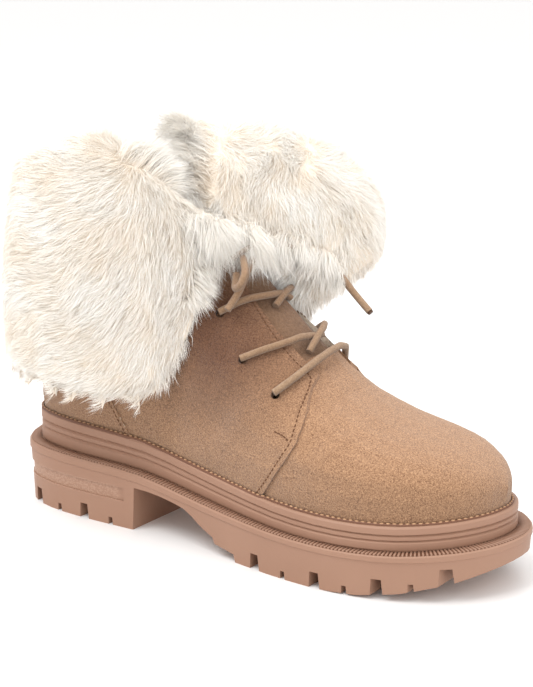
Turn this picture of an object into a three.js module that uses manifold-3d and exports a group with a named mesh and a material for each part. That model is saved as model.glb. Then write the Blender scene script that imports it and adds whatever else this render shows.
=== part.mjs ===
// A right ankle boot: lug sole, ribbed midsole, suede upper with an open lacing,
// a tongue, an insole, and a deep fur lining folded down outside as a cuff.
// Millimetres, +X towards the toe, +Y towards the wearer's left, +Z up.
// The origin is on the floor under the middle of the heel.
import * as THREE from "three";
import Module from "manifold-3d";

const wasm = await Module();
wasm.setup();
const { Manifold } = wasm;

// Driving sizes of the sole
const SOLE_LENGTH = 285;
const BALL_HALF = 51;
const HEEL_CENTRE = 40;
const HEEL_RIM = 33;
const MIDSOLE_HEEL = 17;
const LEDGE = 5.5;
const WELT_WIDTH = 3.6;
const HEEL_BLOCK = 88;
const ARCH_HEIGHT = 23;
const FOREPART_START = 141;
const TREAD_STEP = 6;
const TOE_SPRING = 16;
const SPRING_START = 206;
const GROOVE_DEPTH = 8;
const GROOVE_WIDTH = 6.4;
const CENTRE_HALF = 14;
const SHELL_UNDER = -1;

// Driving sizes of the upper
const INSTEP_RISE = 100;
const WALL = 2.2;
const QUARTER_STEP = 1.3;
const COUNTER_STEP = 2.1;
const COLLAR_FRONT = 148;
const THROAT_HALF = 14;
const EYELET_HOLE = 4.6;
const LACE_DIAMETER = 3.6;
const INSOLE_THICK = 4;
const TONGUE_THICK = 4;
const TONGUE_HALF = 27;
const TONGUE_BELOW = 18;
const TONGUE_ABOVE = 10;
const THROAT_REACH = 30;
const TONGUE_REACH = 25;

// Driving sizes of the fur cuff
const SHAFT_CENTRE = 60;
const SHAFT_HALF_LONG = 46;
const SHAFT_HALF_WIDE = 41;
const FUR_DEPTH = 15;
const CUFF_DROP = 108;
const LOCK_LENGTH = 15;
const LOCK_WIDTH = 11;

// Clearances
const GAP = 0.3;
const CUT_PAST = 3;
const FINE = 0.05;

// How finely the curved forms are faceted
const OUTLINE_HALF = 32;
const ROW_STEPS = 2;
const LOW_STEPS = 3;
const TOP_STEPS = 6;
const CUFF_STEP = 14;
const LOCK_STEP = 13;

// Outline of the outsole seen from above, as shares of the sole's length and the ball's half width
const TOE_POLE = 0.13;
const OUTLINE = [
  { along: 0.012, lateral: 0.33, medial: 0.33 },
  { along: 0.04, lateral: 0.56, medial: 0.56 },
  { along: 0.08, lateral: 0.68, medial: 0.68 },
  { along: 0.14, lateral: 0.75, medial: 0.74 },
  { along: 0.22, lateral: 0.77, medial: 0.72 },
  { along: 0.32, lateral: 0.76, medial: 0.66 },
  { along: 0.42, lateral: 0.79, medial: 0.645 },
  { along: 0.52, lateral: 0.875, medial: 0.73 },
  { along: 0.62, lateral: 0.97, medial: 0.885 },
  { along: 0.71, lateral: 1.01, medial: 0.99 },
  { along: 0.79, lateral: 0.98, medial: 1.01 },
  { along: 0.86, lateral: 0.875, medial: 0.95 },
  { along: 0.92, lateral: 0.69, medial: 0.815 },
  { along: 0.96, lateral: 0.48, medial: 0.645 },
  { along: 0.99, lateral: 0.19, medial: 0.4 },
];

// Side view of the sole: rim of the outsole, thickness of the midsole band, width of the ledge between them
const SIDE = [
  { along: 0, rim: 1, band: 1, ledge: 1.2 },
  { along: 0.15, rim: 0.98, band: 0.96, ledge: 1.2 },
  { along: 0.31, rim: 0.93, band: 0.88, ledge: 1.25 },
  { along: 0.45, rim: 0.76, band: 0.8, ledge: 1.25 },
  { along: 0.6, rim: 0.67, band: 0.73, ledge: 1 },
  { along: 0.72, rim: 0.65, band: 0.7, ledge: 0.92 },
  { along: 0.85, rim: 0.68, band: 0.7, ledge: 1 },
  { along: 0.95, rim: 0.75, band: 0.72, ledge: 1.2 },
  { along: 1, rim: 0.79, band: 0.72, ledge: 1.3 },
];

// Wall of the outsole from the ground to the rim, and of the midsole from its bottom to its top
const SOLE_WALL = [
  { up: 0, inset: 2 },
  { up: 0.42, inset: 1.4 },
  { up: 0.86, inset: 0.6 },
  { up: 0.88, inset: 0 },
  { up: 0.975, inset: 0 },
  { up: 1, inset: 0.8 },
];
const BAND_WALL = [
  { up: 0, inset: 0.6 },
  { up: 0.08, inset: 0 },
  { up: 0.34, inset: 0 },
  { up: 0.41, inset: 1.2 },
  { up: 0.47, inset: 0.2 },
  { up: 0.58, inset: 0.2 },
  { up: 0.64, inset: 1.2 },
  { up: 0.7, inset: 0 },
  { up: 0.93, inset: 0 },
  { up: 1, inset: 0.8 },
];

// Grooves across the tread: place along the sole, and whether they are the deep ones
const GROOVES = [
  { along: 0.07, deep: 1 },
  { along: 0.132, deep: 0.5 },
  { along: 0.194, deep: 1 },
  { along: 0.255, deep: 0.5 },
  { along: 0.533, deep: 0.5 },
  { along: 0.593, deep: 1 },
  { along: 0.655, deep: 0.5 },
  { along: 0.72, deep: 1 },
  { along: 0.775, deep: 0.5 },
  { along: 0.83, deep: 1 },
  { along: 0.882, deep: 0.5 },
  { along: 0.93, deep: 1 },
];

// Sections of the upper from the toe round to the top of the shaft.
// bottom and over: where the section starts below and ends on top, as shares of the sole's length;
// lift and rise: heights of these two ends; lean: how far the top lies inward of the centre;
// bulge: how far the side swells past the edge below it; low: height of the widest place;
// full: how square the top is (1 is an ellipse, less is fuller).
const LAST = [
  { bottom: 0.964, lift: 0, over: 0.967, rise: 0.47, lean: 0.13, bulge: 0, low: 0.5, full: 0.8 },
  { bottom: 0.956, lift: 0, over: 0.958, rise: 0.51, lean: 0.13, bulge: 0.01, low: 0.5, full: 0.8 },
  { bottom: 0.944, lift: 0, over: 0.941, rise: 0.56, lean: 0.13, bulge: 0.01, low: 0.45, full: 0.8 },
  { bottom: 0.921, lift: 0, over: 0.915, rise: 0.605, lean: 0.13, bulge: 0.01, low: 0.42, full: 0.8 },
  { bottom: 0.884, lift: 0, over: 0.88, rise: 0.65, lean: 0.13, bulge: 0.01, low: 0.38, full: 0.8 },
  { bottom: 0.825, lift: 0, over: 0.825, rise: 0.69, lean: 0.13, bulge: 0.01, low: 0.34, full: 0.82 },
  { bottom: 0.754, lift: 0, over: 0.754, rise: 0.735, lean: 0.13, bulge: 0.01, low: 0.3, full: 0.86 },
  { bottom: 0.67, lift: 0, over: 0.684, rise: 0.82, lean: 0.15, bulge: 0.01, low: 0.26, full: 0.92 },
  { bottom: 0.58, lift: 0, over: 0.614, rise: 0.98, lean: 0.19, bulge: 0.01, low: 0.24, full: 1 },
  { bottom: 0.48, lift: 0, over: 0.54, rise: 1.16, lean: 0.24, bulge: 0.02, low: 0.24, full: 1 },
  { bottom: 0.37, lift: 0, over: 0.48, rise: 1.31, lean: 0.23, bulge: 0.03, low: 0.25, full: 1 },
  { bottom: 0.26, lift: 0, over: 0.435, rise: 1.47, lean: 0.17, bulge: 0.05, low: 0.27, full: 1 },
  { bottom: 0.16, lift: 0, over: 0.41, rise: 1.58, lean: 0.13, bulge: 0.06, low: 0.3, full: 1 },
  { bottom: 0.09, lift: 0, over: 0.395, rise: 1.68, lean: 0.1, bulge: 0.09, low: 0.33, full: 1 },
  { bottom: 0.052, lift: 0, over: 0.387, rise: 1.76, lean: 0.08, bulge: 0.11, low: 0.36, full: 1 },
  { bottom: 0.034, lift: 0, over: 0.381, rise: 1.83, lean: 0.04, bulge: 0.13, low: 0.39, full: 1 },
  { bottom: 0.024, lift: 0.24, over: 0.378, rise: 1.9, lean: 0.03, bulge: 0.15, low: 0.42, full: 1 },
  { bottom: 0.032, lift: 0.55, over: 0.376, rise: 1.98, lean: 0.02, bulge: 0.18, low: 0.45, full: 1 },
  { bottom: 0.044, lift: 0.86, over: 0.375, rise: 2.05, lean: 0, bulge: 0.2, low: 0.48, full: 1 },
  { bottom: 0.05, lift: 1.17, over: 0.375, rise: 2.12, lean: 0, bulge: 0.22, low: 0.5, full: 1 },
  { bottom: 0.052, lift: 1.47, over: 0.375, rise: 2.2, lean: 0, bulge: 0.22, low: 0.5, full: 1 },
].map((row, step) => ({ step, ...row }));
const HEEL_ROW = 15;
const FACING_ROW = 8;

// Eyelets: section of the upper and how far round from its top (negative is lateral)
const EYELETS = [
  { step: 8.15, around: -0.38 },
  { step: 9.1, around: -0.38 },
  { step: 10.1, around: -0.32 },
  { step: 8.15, around: 0.4 },
  { step: 9.1, around: 0.42 },
  { step: 10.1, around: 0.4 },
];

// Strands of the lace on the upper: section, how far round, and height of the strand's middle
// above the vamp's level. Each runs from one eyelet or from under one facing to an eyelet.
const LACE_BAR = [
  { step: 8.15, around: -0.38, height: 3.9 },
  { step: 7.98, around: -0.28, height: 3.7 },
  { step: 7.9, around: -0.14, height: 3.6 },
  { step: 7.93, around: 0.02, height: 4 },
  { step: 8.02, around: 0.2, height: 4.5 },
  { step: 8.15, around: 0.4, height: 3.9 },
];
const LOW_OVER = [
  { step: 8.16, around: -0.12, height: 0 },
  { step: 8.22, around: -0.08, height: 1.6 },
  { step: 8.32, around: -0.02, height: 2.7 },
  { step: 8.5, around: 0.12, height: 4.2 },
  { step: 8.78, around: 0.28, height: 4.3 },
  { step: 9.1, around: 0.42, height: 3.9 },
];
const LOW_UNDER = [
  { step: 8.36, around: 0.08, height: -0.1 },
  { step: 8.34, around: -0.03, height: 0.3 },
  { step: 8.43, around: -0.12, height: 2.7 },
  { step: 8.55, around: -0.21, height: 3.8 },
  { step: 8.74, around: -0.28, height: 3.9 },
  { step: 9.1, around: -0.38, height: 3.9 },
];
const HIGH_OVER = [
  { step: 9.25, around: -0.11, height: -0.2 },
  { step: 9.36, around: -0.02, height: 1.8 },
  { step: 9.5, around: 0.12, height: 4.5 },
  { step: 9.8, around: 0.26, height: 3.9 },
  { step: 10.1, around: 0.4, height: 3.9 },
];
const HIGH_UNDER = [
  { step: 9.3, around: 0.1, height: -0.2 },
  { step: 9.36, around: 0, height: -0.1 },
  { step: 9.52, around: -0.13, height: 3 },
  { step: 9.8, around: -0.22, height: 3.9 },
  { step: 10.1, around: -0.32, height: 3.9 },
];

// Free runs of the lace, in millimetres from the outsole's back end: knot, loop and the two loose ends
const KNOT = [
  [131, -10, 141],
  [136, -7, 145],
  [138, 0, 147],
  [135, 6, 144],
];
const NEAR_LOOP = [
  [136.6, -9.4, 142],
  [141, -15, 141.5],
  [146, -21, 138],
  [145.5, -24, 132.5],
  [141, -22, 130],
  [137, -15.5, 135],
];
const NEAR_END = [
  [138, -2, 142.5],
  [139.5, -6, 140],
  [139.5, -9.5, 136],
  [139, -12.5, 131],
  [138, -17, 124.5],
  [136.5, -22.5, 118.5],
];
const FAR_END = [
  [137.5, 8, 144.5],
  [146, 20, 143],
  [153, 30, 138],
  [160, 38, 130],
  [169, 41, 119],
  [178, 41, 111],
];

// Height of the collar, as shares of its height at the front
const COLLAR = [
  { along: 0, height: 1.12 },
  { along: 0.12, height: 1.13 },
  { along: 0.22, height: 1.14 },
  { along: 0.3, height: 1.12 },
  { along: 0.36, height: 1.06 },
  { along: 0.41, height: 1 },
];

// Side view of the quarter's front edge, and of the counter's front edge, as shares of the sole's length
const QUARTER_EDGE = [
  { along: 0.575, up: 0.1 },
  { along: 0.614, up: 0.154 },
  { along: 0.635, up: 0.186 },
  { along: 0.656, up: 0.217 },
  { along: 0.659, up: 0.246 },
  { along: 0.654, up: 0.272 },
  { along: 0.645, up: 0.288 },
  { along: 0.638, up: 0.31 },
  { along: 0.632, up: 0.34 },
  { along: 0.6, up: 0.5 },
  { along: 0.5, up: 0.85 },
];
const COUNTER_EDGE = [
  { along: 0.31, up: 0.1 },
  { along: 0.29, up: 0.154 },
  { along: 0.256, up: 0.214 },
  { along: 0.21, up: 0.29 },
  { along: 0.13, up: 0.36 },
  { along: -0.05, up: 0.4 },
];

// The throat seen square to the slope of the instep: distance up the slope from the front of the
// facings, place of its middle to the medial side, and half width
const THROAT = [
  { up: 0, middle: 0.3, half: 1 },
  { up: 0.2, middle: 0.35, half: 1 },
  { up: 0.5, middle: 0.6, half: 0.95 },
  { up: 0.8, middle: 0.7, half: 0.85 },
  { up: 1.1, middle: 0.7, half: 0.8 },
];
const SLOPE_LENGTH = COLLAR_FRONT * 0.608;
const SLOPE_ANGLE = 43;

// The fur flap round the shaft, from the lateral end at the front, round the back, to the medial end:
// degrees round from the front, height of its fold, length of the flap, how far its hem stands off,
// and its thickness
const CUFF = [
  { around: 5, crest: 1.1, drop: 0.3, flare: 0.05, thick: 0.9 },
  { around: 20, crest: 1.15, drop: 0.56, flare: 0.06, thick: 1 },
  { around: 35, crest: 1.23, drop: 0.86, flare: 0.08, thick: 1 },
  { around: 50, crest: 1.3, drop: 1.07, flare: 0.1, thick: 1 },
  { around: 90, crest: 1.35, drop: 1.12, flare: 0.13, thick: 1 },
  { around: 130, crest: 1.3, drop: 1.02, flare: 0.12, thick: 1 },
  { around: 180, crest: 1.25, drop: 0.9, flare: 0.12, thick: 1 },
  { around: 220, crest: 1.25, drop: 0.78, flare: 0.3, thick: 1 },
  { around: 260, crest: 1.3, drop: 0.7, flare: 0.6, thick: 1 },
  { around: 290, crest: 1.36, drop: 0.62, flare: 0.85, thick: 1.1 },
  { around: 310, crest: 1.35, drop: 0.58, flare: 1, thick: 1.2 },
  { around: 325, crest: 1.3, drop: 0.58, flare: 0.85, thick: 1.3 },
  { around: 335, crest: 1.24, drop: 0.6, flare: 0.6, thick: 1.5 },
  { around: 345, crest: 1.17, drop: 0.58, flare: 0.3, thick: 1.7 },
  { around: 355, crest: 1.1, drop: 0.5, flare: 0.08, thick: 1.5 },
];
const FLARE = 75;

// Value of one column between the rows of a table, as a smooth curve through them
function read(rows, by, at, key) {
  const last = rows.length - 1;
  const above = rows.findIndex((row) => row[by] > at);
  const i = above < 0 ? last - 1 : Math.max(above - 1, 0);
  const span = rows[i + 1][by] - rows[i][by];
  const t = Math.min(Math.max((at - rows[i][by]) / span, 0), 1);
  const slope = (k) => {
    const a = rows[Math.max(k - 1, 0)];
    const b = rows[Math.min(k + 1, last)];
    return ((b[key] - a[key]) / (b[by] - a[by])) * span;
  };
  const rest = 1 - t;
  const start = (1 + 2 * t) * rest * rest * rows[i][key] + t * rest * rest * slope(i);
  const end = t * t * (3 - 2 * t) * rows[i + 1][key] - t * t * rest * slope(i + 1);
  return start + end;
}

// Closed body from polygons of points, with shared corners joined
function solidOf(polygons) {
  const index = new Map();
  const points = [];
  const triangles = [];
  const indexOf = (p) => {
    const key = `${Math.round(p.x * 1000)},${Math.round(p.y * 1000)},${Math.round(p.z * 1000)}`;
    if (!index.has(key)) {
      index.set(key, points.length);
      points.push(p);
    }
    return index.get(key);
  };
  for (const polygon of polygons) {
    const ids = polygon.map(indexOf);
    for (let k = 1; k < ids.length - 1; k += 1) {
      const [a, b, c] = [ids[0], ids[k], ids[k + 1]];
      if (a !== b && b !== c && c !== a) triangles.push([a, b, c]);
    }
  }
  const volume = triangles.reduce((sum, [a, b, c]) => {
    return sum + points[a].dot(new THREE.Vector3().crossVectors(points[b], points[c]));
  }, 0);
  const turned = volume < 0 ? triangles.map(([a, b, c]) => [a, c, b]) : triangles;
  const mesh = new wasm.Mesh({
    numProp: 3,
    vertProperties: Float32Array.from(points.flatMap((p) => [p.x, p.y, p.z])),
    triVerts: Uint32Array.from(turned.flat()),
  });
  return new Manifold(mesh);
}

// Closed body from a three.js geometry
function solidFrom(geometry) {
  const flat = geometry.index ? geometry.toNonIndexed() : geometry;
  const place = flat.getAttribute("position");
  const corner = (i) => new THREE.Vector3().fromBufferAttribute(place, i);
  const polygons = [];
  for (let i = 0; i < place.count; i += 3) polygons.push([corner(i), corner(i + 1), corner(i + 2)]);
  return solidOf(polygons);
}

// Rings of the same count joined into a closed body; the ends are closed across, point i to point n - i
function loft(rings, wrap = false) {
  const polygons = [];
  const count = rings[0].length;
  const pairs = wrap ? rings.length : rings.length - 1;
  for (let k = 0; k < pairs; k += 1) {
    const [low, high] = [rings[k], rings[(k + 1) % rings.length]];
    for (let i = 0; i < count; i += 1) {
      const j = (i + 1) % count;
      polygons.push([low[i], low[j], high[j], high[i]]);
    }
  }
  for (const [ring, turn] of wrap ? [] : [[rings[0], true], [rings[rings.length - 1], false]]) {
    for (let i = 0; i < count / 2; i += 1) {
      const strip = [ring[i], ring[i + 1], ring[(count - i - 1) % count], ring[(count - i) % count]];
      polygons.push(turn ? strip.reverse() : strip);
    }
  }
  return solidOf(polygons);
}

// The largest of a solid's bodies, without the slivers that a cut leaves
function mainBody(solid) {
  const bodies = solid.simplify(0.005).decompose();
  return bodies.reduce((best, body) => (body.volume() > best.volume() ? body : best));
}

// Upright plate: an outline in the side view [along, up], extruded from one y to another
function sidePrism(outline, from, to) {
  const shape = new THREE.Shape(outline.map(([along, up]) => new THREE.Vector2(along, up)));
  const plate = new THREE.ExtrudeGeometry(shape, { depth: to - from, bevelEnabled: false });
  plate.rotateX(Math.PI / 2);
  plate.translate(0, to, 0);
  return solidFrom(plate);
}

// Smooth open line through [x, y] points
function smoothLine(points, steps) {
  return new THREE.SplineCurve(points.map(([x, y]) => new THREE.Vector2(x, y)))
    .getPoints(steps)
    .map((p) => [p.x, p.y]);
}

// Sole

const side = (key, along) => read(SIDE, "along", along / SOLE_LENGTH, key);
const rimAt = (along) => HEEL_RIM * side("rim", along);
const bandTop = (along) => rimAt(along) + GAP + MIDSOLE_HEEL * side("band", along);
const ledgeAt = (along) => LEDGE * side("ledge", along);
const featherInset = (along) => ledgeAt(along) + WELT_WIDTH;

const outlineCurve = new THREE.CatmullRomCurve3(
  [
    new THREE.Vector3(0, 0, 0),
    ...OUTLINE.map((row) => new THREE.Vector3(row.along * SOLE_LENGTH, -row.lateral * BALL_HALF, 0)),
    new THREE.Vector3(SOLE_LENGTH, TOE_POLE * BALL_HALF, 0),
    ...OUTLINE.toReversed().map(
      (row) => new THREE.Vector3(row.along * SOLE_LENGTH, row.medial * BALL_HALF, 0),
    ),
  ],
  true,
  "catmullrom",
  0.5,
);

// One ring round the sole: inset and height may follow the place along it
function ring(inset, height, half = OUTLINE_HALF) {
  const points = [];
  for (let i = 0; i < 2 * half; i += 1) {
    const place = outlineCurve.getPoint(i / (2 * half));
    const run = outlineCurve.getTangent(i / (2 * half));
    const along = place.x;
    const x = along - run.y * inset(along);
    const y = place.y + run.x * inset(along);
    points.push(new THREE.Vector3(x, y, height(x)));
  }
  return points;
}

const groundAt = (along) => {
  const t = Math.max((along - SPRING_START) / (SOLE_LENGTH - SPRING_START), 0);
  return TOE_SPRING * t * t;
};

function makeOutsole() {
  const shell = loft(
    SOLE_WALL.map((row) =>
      ring(
        () => row.inset,
        (along) => SHELL_UNDER + (rimAt(along) - SHELL_UNDER) * row.up,
      ),
    ),
  );
  const archTop = smoothLine(
    [
      [HEEL_BLOCK + 1, ARCH_HEIGHT],
      [HEEL_BLOCK + 14, ARCH_HEIGHT - 0.5],
      [HEEL_BLOCK + 34, ARCH_HEIGHT - 4],
      [FOREPART_START - 8, ARCH_HEIGHT - 10.5],
      [FOREPART_START, TREAD_STEP + 3],
    ],
    10,
  );
  const springs = [0, 0.25, 0.5, 0.75, 1].map((t) => {
    const along = SPRING_START + (SOLE_LENGTH + CUT_PAST - SPRING_START) * t;
    return [along, groundAt(along)];
  });
  const kept = sidePrism(
    [
      [-CUT_PAST, 0],
      [HEEL_BLOCK - 1, 0],
      ...archTop,
      [FOREPART_START + 1, TREAD_STEP],
      [FOREPART_START + 14, TREAD_STEP - 2],
      [FOREPART_START + 15, 0],
      ...springs,
      [SOLE_LENGTH + CUT_PAST, HEEL_RIM * 2],
      [-CUT_PAST, HEEL_RIM * 2],
    ],
    -BALL_HALF * 1.2,
    BALL_HALF * 1.2,
  );
  let sole = shell.intersect(kept);

  // A shallow band is let into the side of the heel
  const bandLow = HEEL_RIM * 0.44;
  const bandHigh = HEEL_RIM * 0.65;
  const recess = loft([ring(() => -2, () => bandLow), ring(() => -2, () => bandHigh)]).subtract(
    loft([ring(() => 2.1, () => bandLow - 1), ring(() => 1.7, () => bandHigh + 1)]),
  );
  const heelOnly = sidePrism(
    [
      [-CUT_PAST, 0],
      [HEEL_BLOCK - 6, 0],
      [HEEL_BLOCK - 6, HEEL_RIM],
      [-CUT_PAST, HEEL_RIM],
    ],
    -BALL_HALF,
    BALL_HALF,
  );
  sole = sole.subtract(recess.intersect(heelOnly));

  // Grooves run in from both edges; narrow channels part the middle of the tread from its sides
  const far = BALL_HALF * 1.2;
  for (const { along, deep } of GROOVES) {
    const at = along * SOLE_LENGTH;
    const ground = groundAt(at);
    const depth = GROOVE_DEPTH * deep;
    const half = (GROOVE_WIDTH / 2) * deep;
    const cut = [
      [at - half, ground - CUT_PAST],
      [at + half, ground - CUT_PAST],
      [at + half * 0.72, ground + depth],
      [at - half * 0.72, ground + depth],
    ];
    const near = deep === 1 ? CENTRE_HALF : BALL_HALF * 0.5;
    sole = sole.subtract(sidePrism(cut, -far, -near)).subtract(sidePrism(cut, near, far));
  }
  const channel = (from, to) => {
    const block = new THREE.BoxGeometry(to - from, 2.5, GROOVE_DEPTH);
    block.translate((from + to) / 2, 0, 0);
    return block;
  };
  for (const [from, to] of [[10, HEEL_BLOCK - 14], [FOREPART_START + 20, SOLE_LENGTH * 0.93]]) {
    for (const y of [-CENTRE_HALF, CENTRE_HALF]) {
      sole = sole.subtract(solidFrom(channel(from, to).translate(0, y, groundAt((from + to) / 2))));
    }
  }
  return sole;
}

function makeMidsole() {
  return loft(
    BAND_WALL.map((row) =>
      ring(
        (along) => ledgeAt(along) + row.inset,
        (along) => rimAt(along) + GAP + (bandTop(along) - rimAt(along) - GAP) * row.up,
      ),
    ),
  );
}

// Upper

const featherRing = ring(featherInset, bandTop, 200);

// Edge of the upper on the sole: its y on the lateral (-1) or medial (1) side at a place along
function featherY(along, sign) {
  const count = featherRing.length;
  const half = count / 2;
  const pick = (k) => featherRing[sign < 0 ? k : (count - k) % count];
  for (let k = 0; k < half; k += 1) {
    const [a, b] = [pick(k), pick(k + 1)];
    if (a.x <= along && b.x >= along && b.x > a.x) {
      return a.y + ((b.y - a.y) * (along - a.x)) / (b.x - a.x);
    }
  }
  return along < SOLE_LENGTH / 2 ? pick(0).y : pick(half).y;
}

const last = (key, step) => read(LAST, "step", step, key);
const HEEL_FEATHER = featherRing[0].x;
const TOE_FEATHER = featherRing[featherRing.length / 2].x;

// A point of the upper's outside: step counts the sections from the toe,
// around runs from -1 at the lateral edge over the top at 0 to 1 at the medial edge
function formPoint(step, around) {
  const sign = around <= 0 ? -1 : 1;
  const share = 1 - Math.abs(around);
  const onSole = step <= HEEL_ROW;
  let along = last("bottom", step) * SOLE_LENGTH;
  if (onSole) along = Math.min(Math.max(along, HEEL_FEATHER), TOE_FEATHER);
  if (step === 0) along = TOE_FEATHER;
  if (step === HEEL_ROW) along = HEEL_FEATHER;
  const lift = Math.max(last("lift", step), 0) * INSTEP_RISE;
  const foot = new THREE.Vector2(along, bandTop(along) + GAP + lift);
  const top = new THREE.Vector2(last("over", step) * SOLE_LENGTH, last("rise", step) * INSTEP_RISE);
  const low = last("low", step);
  const beside = step === 0 ? TOE_FEATHER : foot.x + (top.x - foot.x) * low;
  const footY = onSole ? featherY(foot.x, sign) : featherRing[0].y;
  const wideY = featherY(beside, sign) + sign * last("bulge", step) * BALL_HALF;
  const topY = last("lean", step) * BALL_HALF;
  const middle = (featherY(beside, -1) + featherY(beside, 1)) / 2;
  const spread = Math.abs(wideY - middle);
  const tuck = spread < 1 ? 0 : Math.min(Math.max(1 - Math.abs(footY - middle) / spread, 0), 1);
  const split = LOW_STEPS / (LOW_STEPS + TOP_STEPS);
  let y;
  let up;
  if (share < split) {
    const u = share / split;
    const turn = (u * Math.PI) / 2;
    y = footY + (wideY - footY) * Math.sin(turn);
    up = low * (u + (1 - Math.cos(turn) - u) * tuck);
  } else {
    const turn = (((share - split) / (1 - split)) * Math.PI) / 2;
    const full = last("full", step);
    y = topY + (wideY - topY) * Math.cos(turn) ** full;
    up = low + (1 - low) * Math.sin(turn) ** full;
  }
  return new THREE.Vector3(foot.x + (top.x - foot.x) * up, y, foot.y + (top.y - foot.y) * up);
}

const SECTIONS = (LAST.length - 1) * ROW_STEPS;
const AROUND = 2 * (LOW_STEPS + TOP_STEPS);
const HEEL_SECTION = HEEL_ROW * ROW_STEPS;
const skin = Array.from({ length: SECTIONS + 1 }, (_, i) =>
  Array.from({ length: AROUND + 1 }, (_, j) => formPoint(i / ROW_STEPS, (2 * j) / AROUND - 1)),
);

// Outward directions at the points of the skin
const outward = new Map();
const spot = (p) => `${Math.round(p.x * 100)},${Math.round(p.y * 100)},${Math.round(p.z * 100)}`;
for (let i = 0; i < SECTIONS; i += 1) {
  for (let j = 0; j < AROUND; j += 1) {
    const corners = [skin[i][j], skin[i + 1][j], skin[i + 1][j + 1], skin[i][j + 1]];
    const across = corners[2].clone().sub(corners[0]);
    const face = corners[3].clone().sub(corners[1]).cross(across);
    for (const key of new Set(corners.map(spot))) {
      outward.set(key, (outward.get(key) ?? new THREE.Vector3()).add(face));
    }
  }
}

// The upper's outer form grown outward (or inward when negative); drop lengthens it below its edge
function form(grow, drop = 0) {
  const grid = skin.map((row, i) =>
    row.map((p, j) => {
      const way = outward.get(spot(p)).clone();
      if (i <= HEEL_SECTION && (j === 0 || j === AROUND)) way.z = 0;
      return p.clone().addScaledVector(way.normalize(), grow);
    }),
  );
  const polygons = [];
  for (let i = 0; i < SECTIONS; i += 1) {
    for (let j = 0; j < AROUND; j += 1) {
      polygons.push([grid[i][j], grid[i][j + 1], grid[i + 1][j + 1], grid[i + 1][j]]);
    }
  }
  const under = (i, j) => grid[i][j].clone().setZ(grid[i][j].z - drop);
  for (let i = 0; i < HEEL_SECTION; i += 1) {
    polygons.push([grid[i][0], grid[i + 1][0], under(i + 1, 0), under(i, 0)]);
    polygons.push([grid[i + 1][AROUND], grid[i][AROUND], under(i, AROUND), under(i + 1, AROUND)]);
    polygons.push([under(i, 0), under(i + 1, 0), under(i + 1, AROUND), under(i, AROUND)]);
  }
  const top = grid[SECTIONS];
  for (let j = 0; j < AROUND / 2; j += 1) {
    polygons.push([top[j], top[AROUND - j], top[AROUND - j - 1], top[j + 1]].reverse());
  }
  return solidOf(polygons);
}

const collarAt = (along) => COLLAR_FRONT * read(COLLAR, "along", along / SOLE_LENGTH, "height");

// Everything below the collar line, moved up by a clearance
function belowCollar(clearance) {
  const line = COLLAR.map((row) => [row.along * SOLE_LENGTH, collarAt(row.along * SOLE_LENGTH) + clearance]);
  return sidePrism(
    [
      [-CUT_PAST * 20, 0],
      [SOLE_LENGTH + CUT_PAST, 0],
      [SOLE_LENGTH + CUT_PAST, COLLAR_FRONT + clearance],
      ...line.toReversed(),
      [-CUT_PAST * 20, line[0][1]],
    ],
    -BALL_HALF * 2,
    BALL_HALF * 2,
  );
}

// Upright plate through the quarter or the counter, from its front edge back past the heel
function behind(edge) {
  const line = smoothLine(edge.map((row) => [row.along * SOLE_LENGTH, row.up * SOLE_LENGTH]), 12);
  const back = -CUT_PAST * 20;
  const outline = [...line, [back, line[line.length - 1][1]], [back, line[0][1]]];
  return sidePrism(outline, -BALL_HALF * 2, BALL_HALF * 2);
}

// A strip up the slope of the instep, from below the facings' front to past the collar,
// cut square to the slope; reach is how far it goes in below the slope
function slopeStrip(front, half, reach) {
  const angle = (SLOPE_ANGLE * Math.PI) / 180;
  const at = (up, sign) => {
    const share = Math.max(up, 0) / SLOPE_LENGTH;
    const middle = THROAT_HALF * read(THROAT, "up", share, "middle");
    return new THREE.Vector2(up, middle + sign * half * read(THROAT, "up", share, "half"));
  };
  const ups = [0, 0.25, 0.5, 0.75, 1, 1.25].map((share) => front + (SLOPE_LENGTH - front) * share);
  const shape = new THREE.Shape([...ups.map((up) => at(up, -1)), ...ups.toReversed().map((up) => at(up, 1))]);
  const strip = new THREE.ExtrudeGeometry(shape, { depth: reach * 2, bevelEnabled: false });
  strip.translate(0, 0, -reach);
  const uphill = new THREE.Vector3(-Math.cos(angle), 0, Math.sin(angle));
  const across = new THREE.Vector3(0, 1, 0);
  const inward = new THREE.Vector3().crossVectors(uphill, across);
  strip.applyMatrix4(new THREE.Matrix4().makeBasis(uphill, across, inward));
  const top = formPoint(FACING_ROW, 0);
  strip.translate(top.x, 0, top.z);
  return solidFrom(strip);
}

// Place and outward direction on the upper, raised by a height
function onUpper(step, around, height) {
  const here = formPoint(step, around);
  const ahead = formPoint(step + 0.05, around).sub(formPoint(step - 0.05, around));
  const beside = formPoint(step, around + 0.01).sub(formPoint(step, around - 0.01));
  const way = new THREE.Vector3().crossVectors(beside, ahead).normalize();
  return { here: here.addScaledVector(way, height), way };
}

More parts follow.
